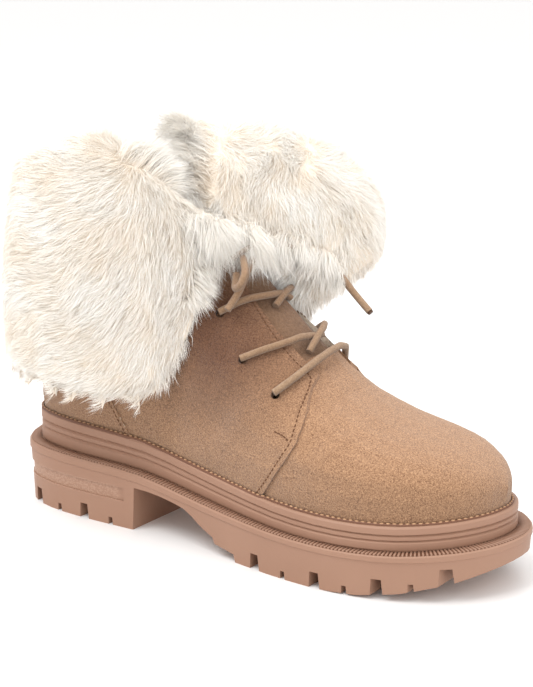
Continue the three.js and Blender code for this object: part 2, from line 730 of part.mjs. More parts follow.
function makeUpper() {
  const inner = form(-WALL, CUT_PAST * 2);
  const throat = slopeStrip(0, THROAT_HALF, THROAT_REACH);
  const between = slopeStrip(-THROAT_REACH, THROAT_HALF, THROAT_REACH);
  const quarter = form(QUARTER_STEP).intersect(behind(QUARTER_EDGE)).subtract(between);
  const counter = form(COUNTER_STEP).intersect(behind(COUNTER_EDGE));
  const outer = form(0).add(quarter).add(counter);
  let upper = outer.subtract(inner).subtract(throat).intersect(belowCollar(0));
  for (const { step, around } of EYELETS) {
    const { here, way } = onUpper(step, around, 0);
    const punch = new THREE.CylinderGeometry(EYELET_HOLE / 2, EYELET_HOLE / 2, 4 * CUT_PAST, 10);
    punch.applyQuaternion(new THREE.Quaternion().setFromUnitVectors(new THREE.Vector3(0, 1, 0), way));
    punch.translate(here.x, here.y, here.z);
    upper = upper.subtract(solidFrom(punch));
  }
  return upper;
}

// The tongue lies under the facings; grown, it is the room that the fur leaves for it
function makeTongue(grow = 0) {
  const depth = WALL + GAP - grow;
  const sheet = form(-depth).subtract(form(-depth - TONGUE_THICK - 2 * grow, CUT_PAST));
  const strip = slopeStrip(-TONGUE_BELOW - grow, TONGUE_HALF + grow, TONGUE_REACH + 2 * grow);
  return mainBody(sheet.intersect(strip).intersect(belowCollar(grow - TONGUE_ABOVE)));
}

function makeInsole() {
  const line = Array.from({ length: 20 }, (_, k) => {
    const along = (SOLE_LENGTH * k) / 19;
    return [along, bandTop(along) + GAP + INSOLE_THICK];
  });
  const under = sidePrism([[0, 0], [SOLE_LENGTH, 0], ...line.toReversed()], -BALL_HALF, BALL_HALF);
  return form(-WALL - 2 * GAP).intersect(under);
}

// Lace

// Round strand along points, with a section of few sides
function strand(points, steps, room = 0) {
  const disc = new THREE.Shape();
  disc.absarc(0, 0, LACE_DIAMETER / 2 + room, 0, Math.PI * 2);
  const path = new THREE.CatmullRomCurve3(points);
  const tube = new THREE.ExtrudeGeometry(disc, { extrudePath: path, steps, curveSegments: 4 });
  return solidFrom(tube);
}
const laid = (rows, room) => {
  const points = rows.map(({ step, around, height }) => onUpper(step, around, height).here);
  return strand(points, 8, room);
};
const free = (route, room) => {
  const points = route.map((p) => new THREE.Vector3(...p));
  return strand(points, (route.length - 1) * 2, room);
};

// Fur cuff

// Place beside and below the fold at a station round the shaft
function cuffPlaces(around) {
  const turn = (around * Math.PI) / 180;
  const way = new THREE.Vector3(Math.cos(turn), -Math.sin(turn), 0);
  const reach = new THREE.Vector3(way.x * SHAFT_HALF_LONG, way.y * SHAFT_HALF_WIDE, 0);
  const cuff = (key) => read(CUFF, "around", around, key);
  const crest = COLLAR_FRONT * cuff("crest");
  const at = (out, down) =>
    new THREE.Vector3(SHAFT_CENTRE, 0, crest - down).add(reach).addScaledVector(way, out);
  const sizes = { drop: CUFF_DROP * cuff("drop"), flare: FLARE * cuff("flare"), thick: FUR_DEPTH * cuff("thick") };
  return { at, way, ...sizes };
}

function cuffSection(around) {
  const { at, drop, flare, thick } = cuffPlaces(around);
  const outer = (share) => {
    const angle = (share * Math.PI) / 2;
    return at((flare + thick) * Math.sin(angle) ** 0.85, drop * (1 - Math.cos(angle) ** 0.85));
  };
  const under = (share) => {
    const angle = (share * Math.PI) / 2;
    return at(flare * Math.sin(angle), thick + (drop - thick) * (1 - Math.cos(angle)));
  };
  const inner = -WALL - FUR_DEPTH * 0.8;
  return [
    at(inner, thick + FUR_DEPTH * 1.5),
    at(inner, FUR_DEPTH * 0.6),
    at(inner * 0.6, FUR_DEPTH * 0.05),
    outer(0.2),
    outer(0.42),
    outer(0.62),
    outer(0.8),
    at(flare + thick, drop * 0.96),
    at(flare + thick * 0.6, drop + thick * 0.3),
    at(flare, drop),
    under(0.7),
    at(-WALL / 2, thick + FUR_DEPTH * 1.5),
  ];
}

// Pointed lock of fur at the hem, hanging down and a little to one side
function lock(around, side) {
  const { at, way, drop, flare, thick } = cuffPlaces(around);
  const root = at(flare + thick * 0.55, drop - LOCK_LENGTH * 0.3);
  const sideways = new THREE.Vector3(-way.y, way.x, 0).multiplyScalar(side);
  const hang = new THREE.Vector3(0, 0, -1).addScaledVector(way, 0.25).addScaledVector(sideways, 0.35);
  const cone = new THREE.ConeGeometry(LOCK_WIDTH / 2, LOCK_LENGTH, 4);
  cone.translate(0, LOCK_LENGTH / 2, 0);
  cone.applyQuaternion(
    new THREE.Quaternion().setFromUnitVectors(new THREE.Vector3(0, 1, 0), hang.normalize()),
  );
  cone.translate(root.x, root.y, root.z);
  return solidFrom(cone);
}

function makeCuff() {
  const [start, end] = [CUFF[0].around, CUFF[CUFF.length - 1].around];
  const stations = [];
  for (let around = start; around <= end; around += CUFF_STEP) stations.push(cuffSection(around));
  let whole = loft(stations);
  for (let around = start + 10, k = 0; around < end - 5; around += LOCK_STEP, k += 1) {
    whole = whole.add(lock(around, Math.sin(k * 2.4)));
  }
  const collar = belowCollar(GAP);
  const outside = whole.subtract(form(COUNTER_STEP + GAP, CUT_PAST).intersect(collar));
  const inside = whole.intersect(form(-WALL - GAP));
  let fur = outside.add(inside).subtract(makeTongue(2 * GAP));
  for (const rows of [HIGH_OVER, HIGH_UNDER, LOW_OVER]) fur = fur.subtract(laid(rows, GAP));
  for (const route of [KNOT, NEAR_LOOP, NEAR_END, FAR_END]) fur = fur.subtract(free(route, GAP));
  return mainBody(fur);
}

const tan = { roughness: 0.9, metalness: 0 };
const material = (name, color) => new THREE.MeshStandardMaterial({ name, color, ...tan });
const group = new THREE.Group();

function addPiece(name, solid, slot) {
  const { vertProperties, triVerts } = solid.simplify(FINE).getMesh();
  const geometry = new THREE.BufferGeometry();
  geometry.setAttribute("position", new THREE.BufferAttribute(vertProperties, 3));
  geometry.setIndex(new THREE.BufferAttribute(triVerts, 1));
  geometry.translate(-HEEL_CENTRE, 0, 0);
  const mesh = new THREE.Mesh(geometry.toNonIndexed(), slot);
  mesh.name = name;
  group.add(mesh);
}

addPiece("outsole", makeOutsole(), material("rubber", 0xb98468));
addPiece("midsole", makeMidsole(), material("foam", 0xbd8a6f));
addPiece("insole", makeInsole(), material("insole_felt", 0xd8c8b4));
addPiece("upper", makeUpper(), material("suede", 0xc29264));
addPiece("tongue", makeTongue(), material("tongue_suede", 0xb98a5e));
const laceSlot = material("lace", 0xb58d63);
addPiece("lace_bar", laid(LACE_BAR), laceSlot);
addPiece("lace_low_crossing", laid(LOW_OVER).add(laid(LOW_UNDER)), laceSlot);
addPiece("lace_high_crossing", laid(HIGH_OVER).add(laid(HIGH_UNDER)), laceSlot);
addPiece("lace_knot", free(KNOT), laceSlot);
addPiece("lace_loop", free(NEAR_LOOP), laceSlot);
addPiece("lace_end_near", free(NEAR_END), laceSlot);
addPiece("lace_end_far", free(FAR_END), laceSlot);
addPiece("cuff", makeCuff(), material("fur", 0xefe6da));

export default group;
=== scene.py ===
# %% [markdown]
# # A sheepskin boot with a folded fur cuff
# The boot is a laced suede ankle boot on a lugged rubber sole. Its fur lining is folded over the
# collar, so that it hangs outside as a deep cuff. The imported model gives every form, in metres,
# with the toe to +X, the wearer's left to +Y and the floor at Z = 0. This script dresses it:
# welded smooth copies for suede and rubber, thread, laces, and the pile of the fur.

import math

import bmesh
import bpy
import numpy as np
from mathutils import Matrix, Vector
from mathutils.bvhtree import BVHTree
from mathutils.kdtree import KDTree


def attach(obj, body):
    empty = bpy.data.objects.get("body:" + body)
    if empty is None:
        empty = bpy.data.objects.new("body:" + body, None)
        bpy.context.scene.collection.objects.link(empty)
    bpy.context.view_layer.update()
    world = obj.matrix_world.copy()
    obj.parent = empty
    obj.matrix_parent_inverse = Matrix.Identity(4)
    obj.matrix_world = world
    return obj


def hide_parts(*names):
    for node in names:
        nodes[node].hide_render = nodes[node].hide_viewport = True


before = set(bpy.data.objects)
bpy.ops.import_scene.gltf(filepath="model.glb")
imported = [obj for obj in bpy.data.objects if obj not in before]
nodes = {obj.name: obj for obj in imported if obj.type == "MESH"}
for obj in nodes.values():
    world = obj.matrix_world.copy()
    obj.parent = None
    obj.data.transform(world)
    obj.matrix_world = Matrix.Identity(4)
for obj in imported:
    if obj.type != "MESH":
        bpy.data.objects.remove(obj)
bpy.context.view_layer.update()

# %% [markdown]
# ## Sizes
# A shoe is measured in millimetres from the back end of its sole. The frame's origin lies under
# the middle of the heel, so one small function turns a maker's point into a point of the frame.

# %% Sizes of the boot
MM = 0.001
HEEL_CENTRE = 40
LACE_DIAMETER = 3.6
STITCH_PITCH = 2.5
WELT_PITCH = 3.0
RIB_PITCH = 1.9
UP = Vector((0, 0, 1))


def mm(x, y, z):
    """A point given in millimetres from the back end of the sole, in the frame."""
    return Vector(((x - HEEL_CENTRE) * MM, y * MM, z * MM))


# %% [markdown]
# ## Materials
# Every finish is mixed from noise on Object coordinates, so it holds still on the piece. It could
# be painted on an unwrapped copy too, but noise needs no seams and stays sharp close up. Two
# effects that several materials share are node groups: a fine nap, which also gives moulded
# rubber its grain, and broad soft patches.

# %% Helpers for shader nodes
def paint(red, green, blue):
    """A colour as it is seen on a screen, from 0 to 255, as linear light."""
    return tuple(((c / 255 + 0.055) / 1.055) ** 2.4 if c > 10 else c / 255 / 12.92
                 for c in (red, green, blue)) + (1.0,)


def node(tree, kind, values=None, **settings):
    """A shader node with its settings and the values of its sockets."""
    made = tree.nodes.new(kind)
    for key, value in settings.items():
        setattr(made, key, value)
    for key, value in (values or {}).items():
        made.inputs[key].default_value = value
    return made


def new_group(name, inputs, outputs):
    """A shader node group with named float inputs and outputs."""
    tree = bpy.data.node_groups.new(name, "ShaderNodeTree")
    for label, value in inputs.items():
        socket = tree.interface.new_socket(label, in_out="INPUT", socket_type="NodeSocketFloat")
        socket.default_value = value
    for label in outputs:
        tree.interface.new_socket(label, in_out="OUTPUT", socket_type="NodeSocketFloat")
    return tree, node(tree, "NodeGroupInput"), node(tree, "NodeGroupOutput")


# %% A group for the nap of suede
def make_nap():
    """Short nap fibres: a fine grain inside a coarser mottling, with its height."""
    tree, given, result = new_group("nap", {"Grain": 1500.0, "Mottle": 260.0}, ["Tone", "Height"])
    place = node(tree, "ShaderNodeTexCoord")
    fine = node(tree, "ShaderNodeTexNoise", {"Detail": 3.0, "Roughness": 0.75})
    coarse = node(tree, "ShaderNodeTexNoise", {"Detail": 4.0, "Roughness": 0.65, "Distortion": 0.4})
    both = node(tree, "ShaderNodeMath", {1: 0.55}, operation="MULTIPLY_ADD")
    softer = node(tree, "ShaderNodeMath", {1: 0.45}, operation="MULTIPLY")
    for noise, scale in ((fine, "Grain"), (coarse, "Mottle")):
        tree.links.new(place.outputs["Object"], noise.inputs["Vector"])
        tree.links.new(given.outputs[scale], noise.inputs["Scale"])
    tree.links.new(coarse.outputs["Fac"], softer.inputs[0])
    tree.links.new(fine.outputs["Fac"], both.inputs[0])
    tree.links.new(softer.outputs[0], both.inputs[2])
    tree.links.new(both.outputs[0], result.inputs["Tone"])
    tree.links.new(both.outputs[0], result.inputs["Height"])
    return tree


# %% A group for broad patches
def make_patches():
    """Large soft areas where the nap lies another way or the dye took differently."""
    tree, given, result = new_group("patches", {"Scale": 20.0, "Low": 0.35, "High": 0.65}, ["Mask"])
    place = node(tree, "ShaderNodeTexCoord")
    noise = node(tree, "ShaderNodeTexNoise", {"Detail": 2.0, "Roughness": 0.5, "Distortion": 0.6})
    spread = node(tree, "ShaderNodeMapRange")
    tree.links.new(place.outputs["Object"], noise.inputs["Vector"])
    tree.links.new(given.outputs["Scale"], noise.inputs["Scale"])
    tree.links.new(noise.outputs["Fac"], spread.inputs["Value"])
    tree.links.new(given.outputs["Low"], spread.inputs["From Min"])
    tree.links.new(given.outputs["High"], spread.inputs["From Max"])
    tree.links.new(spread.outputs["Result"], result.inputs["Mask"])
    return tree


nap, patches = make_nap(), make_patches()
print("groups:", nap.name, patches.name)


# %% A material from a few tones
def new_material(name, roughness, **constants):
    """A material with its shader; further words set the shader's own sockets."""
    material = bpy.data.materials.new(name)
    material.use_nodes = True
    tree = material.node_tree
    shader = tree.nodes["Principled BSDF"]
    shader.inputs["Roughness"].default_value = roughness
    for key, value in constants.items():
        shader.inputs[key.replace("_", " ")].default_value = value
    return material, tree, shader


def group(tree, which, **values):
    """One use of a node group, with its own values."""
    made = node(tree, "ShaderNodeGroup", node_tree=which)
    for key, value in values.items():
        made.inputs[key].default_value = value
    return made


def mixed(tree, mask, low, high):
    """A colour from low to high by a mask; each is a colour or the socket of one."""
    mix = node(tree, "ShaderNodeMix", data_type="RGBA")
    tree.links.new(mask, mix.inputs["Factor"])
    for socket, colour in ((mix.inputs[6], low), (mix.inputs[7], high)):
        if isinstance(colour, bpy.types.NodeSocket):
            tree.links.new(colour, socket)
        else:
            socket.default_value = colour
    return mix.outputs[2]


def ranged(tree, value, low, high, to_low=0.0, to_high=1.0):
    """A value brought from one range to another, held at its ends."""
    spread = node(tree, "ShaderNodeMapRange", {1: low, 2: high, 3: to_low, 4: to_high})
    tree.links.new(value, spread.inputs["Value"])
    return spread.outputs["Result"]


def bumped(tree, shader, height, strength, distance):
    """Feeds a height into the shader's normal."""
    bump = node(tree, "ShaderNodeBump", {"Strength": strength, "Distance": distance})
    tree.links.new(height, bump.inputs["Height"])
    tree.links.new(bump.outputs["Normal"], shader.inputs["Normal"])


def product(tree, one, other):
    """Two masks multiplied."""
    made = node(tree, "ShaderNodeMath", operation="MULTIPLY")
    tree.links.new(one, made.inputs[0])
    tree.links.new(other, made.inputs[1])
    return made.outputs[0]


def parts_of(tree, vector):
    """X, Y and Z of a vector."""
    split = node(tree, "ShaderNodeSeparateXYZ")
    tree.links.new(vector, split.inputs[0])
    return split.outputs


def facing_up(tree):
    """How far a face looks up, from -1 to 1."""
    shape = node(tree, "ShaderNodeNewGeometry")
    return parts_of(tree, shape.outputs["Normal"])["Z"]


# %% [markdown]
# ## Suede
# Brushed leather has no gloss. Its look is a fine speckle of fibres, a slower mottling, and
# wide areas that are darker beside the lacing, partly where the nap lies the other way and partly
# painted shadow under the fur cuff. Its fibres could be real hairs, but they are so short that a
# speckled colour with a small bump reads the same. Faces that look sideways or down are painted
# darker, as painted shade from the light above.

# %% Suede materials
# Painted shade from the light above: colour falls to SHADE on faces looking down, full on faces
# looking up.
SHADED_LOW, SHADED_HIGH, SHADE = -0.4, 0.9, 0.66
NAP_AND_SHADOW_CORE = 0.25


def nap_and_shadow_mask(tree, centre, reach):
    """A soft, slightly uneven spot round a centre, for nap laid the other way and painted shadow.
    """
    place = node(tree, "ShaderNodeTexCoord")
    away = node(tree, "ShaderNodeVectorMath", {1: centre}, operation="DISTANCE")
    tree.links.new(place.outputs["Object"], away.inputs[0])
    near = ranged(tree, away.outputs["Value"], reach, reach * NAP_AND_SHADOW_CORE)
    area = group(tree, patches, Scale=22.0, Low=0.3, High=0.7)
    return product(tree, near, ranged(tree, area.outputs["Mask"], 0.0, 1.0, 0.8, 1.0))


def make_suede(name, light, dark, nap_and_shadow, centre, reach, mottle):
    """Suede in two tones, painted shade on steep sides, turned nap and painted shadow round a
    centre.
    """
    material, tree, shader = new_material(name, 0.95, Sheen_Weight=0.25, Sheen_Roughness=0.6,
                                          Specular_IOR_Level=0.12)
    fibres = group(tree, nap, Grain=2300.0, Mottle=mottle)
    speckle = ranged(tree, fibres.outputs["Tone"], 0.38, 0.62)
    # Turned nap and painted shadow: the colour is darkened round the centre, beside the lacing
    # under the fur cuff.
    nap_and_shadow_mix = node(tree, "ShaderNodeMix", {7: nap_and_shadow}, data_type="RGBA", blend_type="MULTIPLY")
    tree.links.new(nap_and_shadow_mask(tree, centre, reach), nap_and_shadow_mix.inputs["Factor"])
    tree.links.new(mixed(tree, speckle, dark, light), nap_and_shadow_mix.inputs[6])
    # Painted shade: the colour is darker on faces that look sideways or down.
    shade = ranged(tree, facing_up(tree), SHADED_LOW, SHADED_HIGH, SHADE, 1.0)
    shaded = node(tree, "ShaderNodeVectorMath", operation="SCALE")
    tree.links.new(nap_and_shadow_mix.outputs[2], shaded.inputs[0])
    tree.links.new(shade, shaded.inputs["Scale"])
    tree.links.new(shaded.outputs[0], shader.inputs["Base Color"])
    bumped(tree, shader, fibres.outputs["Height"], strength=0.9, distance=0.0008)
    return material


# The third colour darkens each suede round its centre: nap laid the other way and painted shadow
# under the fur.
suede = make_suede("suede", paint(212, 166, 126), paint(116, 78, 53), paint(152, 131, 123),
                   mm(136, -27, 110), 0.062, 1300.0)
tongue_suede = make_suede("tongue_suede", paint(190, 156, 124), paint(146, 114, 88),
                          paint(190, 175, 165), mm(150, 0, 110), 0.06, 700.0)
lace_suede = make_suede("lace_suede", paint(188, 156, 125), paint(150, 119, 92),
                        paint(228, 218, 208), mm(150, 0, 120), 0.05, 900.0)
print("suede:", suede.name, tongue_suede.name, lace_suede.name)

# %% [markdown]
# ## Rubber
# The sole is moulded in one pinkish tan. A dull skin with a very fine grain, a little dust that
# lies on its ledges, and a stippled band round the heel keep it from looking like bare plastic.
# The stipple could be modelled, but its dots are a fraction of a millimetre high, so they are
# raised by noise inside a mask. The mask is a band between two heights, behind the arch.

# %% Rubber materials
BAND_FOOT, BAND_TOP, BAND_FRONT = (0.0135, 0.0145), (0.0225, 0.0215), (0.040, 0.037)
DUST_LOW, DUST_MOST = 0.4, 0.5
STIPPLE_HEIGHT = 0.7


def stippled(tree):
    """Raised spots inside the band round the heel."""
    place = node(tree, "ShaderNodeTexCoord").outputs["Object"]
    parts = parts_of(tree, place)
    foot = ranged(tree, parts["Z"], *BAND_FOOT)
    top = ranged(tree, parts["Z"], *BAND_TOP)
    front = ranged(tree, parts["X"], *BAND_FRONT)
    band = product(tree, product(tree, foot, top), front)
    dots = node(tree, "ShaderNodeTexNoise", {"Scale": 1300.0, "Detail": 1.0})
    tree.links.new(place, dots.inputs["Vector"])
    return product(tree, ranged(tree, dots.outputs["Fac"], 0.42, 0.58), band)


def make_rubber(name, light, dark, dusty, stipple=False):
    """Moulded rubber with fine grain; faces that look up are dustier."""
    material, tree, shader = new_material(name, 0.5, Specular_IOR_Level=0.35)
    grain = group(tree, nap, Grain=2400.0, Mottle=500.0)
    area = group(tree, patches, Scale=14.0, Low=0.25, High=0.75)
    dust = ranged(tree, facing_up(tree), DUST_LOW, 1.0, 0.0, DUST_MOST)
    colour = mixed(tree, dust, mixed(tree, area.outputs["Mask"], dark, light), dusty)
    height = grain.outputs["Height"]
    if stipple:
        spots = stippled(tree)
        colour = mixed(tree, spots, colour, dusty)
        raised = node(tree, "ShaderNodeMath", {1: STIPPLE_HEIGHT}, operation="MULTIPLY_ADD")
        tree.links.new(spots, raised.inputs[0])
        tree.links.new(height, raised.inputs[2])
        height = raised.outputs[0]
    tree.links.new(colour, shader.inputs["Base Color"])
    dull = ranged(tree, grain.outputs["Tone"], 0.3, 0.7, 0.42, 0.62)
    tree.links.new(dull, shader.inputs["Roughness"])
    bumped(tree, shader, height, strength=0.25, distance=0.0003)
    return material


rubber = make_rubber("rubber", paint(162, 125, 104), paint(152, 115, 94),
                     paint(172, 137, 116), stipple=True)
band_rubber = make_rubber("band_rubber", paint(161, 124, 103), paint(151, 114, 93),
                          paint(168, 133, 112))
# Dark rubber as painted shade, for the welt's groove and the ledge's floor.
groove_shade_rubber = make_rubber("groove_shade_rubber", paint(118, 80, 60), paint(96, 62, 45),
                            paint(122, 84, 64))
print("rubber:", rubber.name, band_rubber.name, groove_shade_rubber.name)

# %% [markdown]
# ## Thread, felt, skin and the lace's tip
# The small parts of a boot are nearly all fibrous: waxed thread, the felt of the insole, the
# pelt under the fur. Each could have nodes of its own. One function with a few values keeps
# them alike, and is easier to read.

# %% Thread, felt, skin and tip materials
def make_plain(name, light, dark, roughness, grain, mottle, strength, distance):
    """A fibrous finish in two tones, for thread, felt and the skin under the fur."""
    material, tree, shader = new_material(name, roughness, Specular_IOR_Level=0.2)
    fibres = group(tree, nap, Grain=grain, Mottle=mottle)
    tone = ranged(tree, fibres.outputs["Tone"], 0.36, 0.64)
    tree.links.new(mixed(tree, tone, dark, light), shader.inputs["Base Color"])
    bumped(tree, shader, fibres.outputs["Height"], strength, distance)
    return material


THREAD = {"grain": 4000.0, "mottle": 900.0, "strength": 0.3, "distance": 0.0002}
welt_thread = make_plain("welt_thread", paint(204, 164, 128), paint(166, 126, 96), 0.7, **THREAD)
dark_thread = make_plain("dark_thread", paint(118, 84, 62), paint(94, 64, 46), 0.75, **THREAD)
felt = make_plain("felt", paint(236, 224, 208), paint(206, 188, 166), 0.95,
                  grain=900.0, mottle=160.0, strength=0.7, distance=0.0012)
fur_skin = make_plain("fur_skin", paint(248, 240, 228), paint(234, 220, 202), 0.95,
                      grain=800.0, mottle=140.0, strength=0.6, distance=0.0012)
tip_plastic = make_plain("tip_plastic", paint(96, 70, 54), paint(70, 50, 38), 0.45,
                         grain=2000.0, mottle=500.0, strength=0.1, distance=0.0001)
print("plain finishes:", ", ".join(
    m.name for m in (welt_thread, dark_thread, felt, fur_skin, tip_plastic)))

# %% [markdown]
# ## Smooth copies of the frame's pieces
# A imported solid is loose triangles, so it shades in facets. A welded copy, with its hard edges
# kept sharp, shades as one surface. Subdivision would round it too, but it would also soften
# the crisp tread. Each copy stands where its node stands and replaces it.

# %% Weld and smooth
WELD, SLIVER = 0.000004, 0.000002


def piece_of(name, data, materials, slot, *stands_for):
    """A finished mesh or curve as a piece of the boot."""
    for material in materials:
        data.materials.append(material)
    piece = bpy.data.objects.new(name, data)
    bpy.context.scene.collection.objects.link(piece)
    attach(piece, "root")
    if stands_for:
        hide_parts(*stands_for)
    return piece


def place_piece(name, bm, materials, slot, *stands_for):
    """A bmesh as a piece of the boot."""
    mesh = bpy.data.meshes.new(name)
    bm.to_mesh(mesh)
    bm.free()
    return piece_of(name, mesh, materials, slot, *stands_for)


def welded(name):
    """A node's mesh as one joined bmesh."""
    bm = bmesh.new()
    bm.from_mesh(nodes[name].data)
    bmesh.ops.remove_doubles(bm, verts=bm.verts, dist=WELD)
    bmesh.ops.dissolve_degenerate(bm, edges=bm.edges, dist=SLIVER)
    return bm


def soften(bm, angle):
    """Smooth faces, with edges over an angle in degrees kept sharp."""
    for face in bm.faces:
        face.smooth = True
    for edge in bm.edges:
        edge.smooth = len(edge.link_faces) == 2 and edge.calc_face_angle(0) < math.radians(angle)
    return bm


def weighted(piece):
    """Normals that follow the large faces, so that slivers don't show."""
    modifier = piece.modifiers.new("even_normals", "WEIGHTED_NORMAL")
    modifier.keep_sharp = True
    return piece


def surface(name):
    """A search tree over a node, to find points on it."""
    bm = welded(name)
    tree = BVHTree.FromBMesh(bm)
    bm.free()
    return tree


upper_surface = surface("upper")
outsole_surface, midsole_surface = surface("outsole"), surface("midsole")

# %% Sole, midsole, laces and tongue
outsole = weighted(place_piece("rubber_outsole", soften(welded("outsole"), 28),
                               [rubber], "rubber", "outsole"))
midsole = weighted(place_piece("ribbed_midsole", soften(welded("midsole"), 32),
                               [band_rubber], "foam", "midsole"))
for name in ("lace_bar", "lace_low_crossing", "lace_high_crossing", "lace_knot"):
    place_piece(name + "_suede", soften(welded(name), 60), [lace_suede], "lace", name)
tongue = weighted(place_piece("padded_tongue", soften(welded("tongue"), 50),
                              [tongue_suede], "tongue_suede", "tongue"))
insole = place_piece("felt_insole", soften(welded("insole"), 40),
                     [felt], "insole_felt", "insole")
print("smooth copies:", outsole.name, midsole.name, tongue.name, insole.name)

# %% [markdown]
# ## The suede upper and its creases
# New boots crease first across the ball, where the vamp bends, and round the ankle. Each crease
# here is a soft trough from one point of the boot to another, with a low ridge beside it. The
# creases could be sculpted, or be bump alone. Moving the points by a formula keeps them real,
# in millimetres, and easy to change. The copy of the upper gets enough points to carry them,
# and both sides of its wall move together.

# %% Creases as troughs between two points: width and depth in millimetres
RIDGE, RIDGE_AWAY, CREASE_REACH = 0.45, 1.6, 3
CREASES = [
    {"start": mm(196, -34, 62), "end": mm(206, 0, 66), "width": 6.0, "depth": 0.9},
    {"start": mm(206, 0, 66), "end": mm(198, 32, 62), "width": 6.0, "depth": 0.8},
    {"start": mm(190, -38, 48), "end": mm(203, -22, 66), "width": 5.0, "depth": 0.7},
    {"start": mm(136, -34, 62), "end": mm(152, -30, 82), "width": 8.0, "depth": 0.9},
    {"start": mm(112, -34, 58), "end": mm(138, -30, 72), "width": 9.0, "depth": 0.9},
    {"start": mm(106, 32, 58), "end": mm(150, 30, 78), "width": 9.0, "depth": 1.0},
    {"start": mm(216, -30, 55), "end": mm(226, -4, 60), "width": 8.0, "depth": 0.5},
]


def crease(point):
    """How far a point moves in or out, in metres."""
    moved = 0.0
    for fold in CREASES:
        way = fold["end"] - fold["start"]
        share = min(max((point - fold["start"]).dot(way) / way.length_squared, 0.0), 1.0)
        away = (point - fold["start"] - way * share).length / (fold["width"] * MM)
        if away < CREASE_REACH:
            ridge = RIDGE * math.exp(-((away - RIDGE_AWAY) ** 2))
            moved -= fold["depth"] * MM * (math.exp(-away * away) - ridge)
    return moved


LONGEST_EDGES = (0.006, 0.004, 0.003)
OFF_FACE, LINING_LOOK, WALL_MOST = 0.0006, 0.2, 0.012


def make_upper():
    """The upper's copy, with points close enough for creases and the lining faces marked."""
    bm = welded("upper")
    for longest in LONGEST_EDGES:
        long_edges = [e for e in bm.edges if e.calc_length() > longest]
        bmesh.ops.subdivide_edges(bm, edges=long_edges, cuts=1, use_grid_fill=False)
        bmesh.ops.triangulate(bm, faces=bm.faces)
    middle = mm(140, 0, 40)
    for vertex in bm.verts:
        outward = vertex.co - Vector((vertex.co.x, middle.y, middle.z))
        vertex.co += outward.normalized() * crease(vertex.co)
    bm.normal_update()
    for face in bm.faces:
        start = face.calc_center_median() + face.normal * OFF_FACE
        hit = upper_surface.ray_cast(start, face.normal, LINING_LOOK)
        face.material_index = 1 if hit[0] is not None and hit[3] > WALL_MOST else 0
    return soften(bm, 32)


upper = weighted(place_piece("suede_upper", make_upper(), [suede, felt], "suede", "upper"))
upper_surface = BVHTree.FromPolygons([v.co for v in upper.data.vertices],
                                     [list(p.vertices) for p in upper.data.polygons])
print("upper:", len(upper.data.polygons), "faces")

# %% [markdown]
# ## Lines on the boot
# Thread and ribs follow lines on the surface. A line starts as a few points, is smoothed, and is
# then walked in equal steps. The sole's lines could be drawn by hand, but they are found by
# looking at it level from all round, along a long oval, so that they keep to its true outline.

# %% Smooth lines and equal steps
def smooth_line(points, steps):
    """A smooth curve through points, with a number of steps between each two."""
    ends = [points[0] * 2 - points[1], *points, points[-1] * 2 - points[-2]]
    line = []
    for a, b, c, d in zip(ends, ends[1:], ends[2:], ends[3:]):
        for k in range(steps):
            t = k / steps
            line.append(0.5 * ((2 * b) + (c - a) * t + (2 * a - 5 * b + 4 * c - d) * t * t
                               + (3 * b - a - 3 * c + d) * t * t * t))
    return line + [points[-1]]


def walked(line, pitch, closed=False):
    """Places at equal steps along a line, each with its direction."""
    line = line + [line[0]] if closed else line
    places, left = [], 0.0
    for a, b in zip(line, line[1:]):
        span = (b - a).length
        while left <= span and span > 0:
            places.append((a.lerp(b, left / span), (b - a).normalized()))
            left += pitch
        left -= span
    return places


SPINE_START, SPINE_END = Vector((0.0, 0.0, 0.0)), Vector((0.19, 0.002, 0.0))
END_TURN = math.pi * 0.06
RAYS, RAY_START = 300, 0.2


def sole_rays():
    """Level looks at the sole from all round: start without its height, and direction."""
    spine = (SPINE_END - SPINE_START).length
    total = 2 * spine + 2 * END_TURN
    for k in range(RAYS):
        s = total * k / RAYS
        if s < spine:
            centre, angle = SPINE_START.lerp(SPINE_END, s / spine), -math.pi / 2
        elif s < spine + END_TURN:
            centre, angle = SPINE_END, -math.pi / 2 + math.pi * (s - spine) / END_TURN
        elif s < 2 * spine + END_TURN:
            centre, angle = SPINE_END.lerp(SPINE_START, (s - spine - END_TURN) / spine), math.pi / 2
        else:
            turned = s - 2 * spine - END_TURN
            centre, angle = SPINE_START, math.pi / 2 + math.pi * turned / END_TURN
        out = Vector((math.cos(angle), math.sin(angle), 0.0))
        yield centre + out * RAY_START, -out


# %% The sole's own lines
RIM_HEIGHTS = (18, 21, 24, 27, 30, 33)
PAST_RIM, PAST_WELT, BAND_LOOK, LIFT = 0.0028, 0.0035, 0.002, 0.00015
LEDGE_SHARES = (("outer", 0.14), ("inner", 0.96))
FOOT_LOOKS = (0.0012, 0.002, 0.003, 0.004)


def from_above(tree, point):
    """The topmost point of a surface at a point's place."""
    return tree.ray_cast(point + UP * 0.05, -UP)[0]


def level(start, height):
    """A look's start at a height."""
    return Vector((start.x, start.y, height))


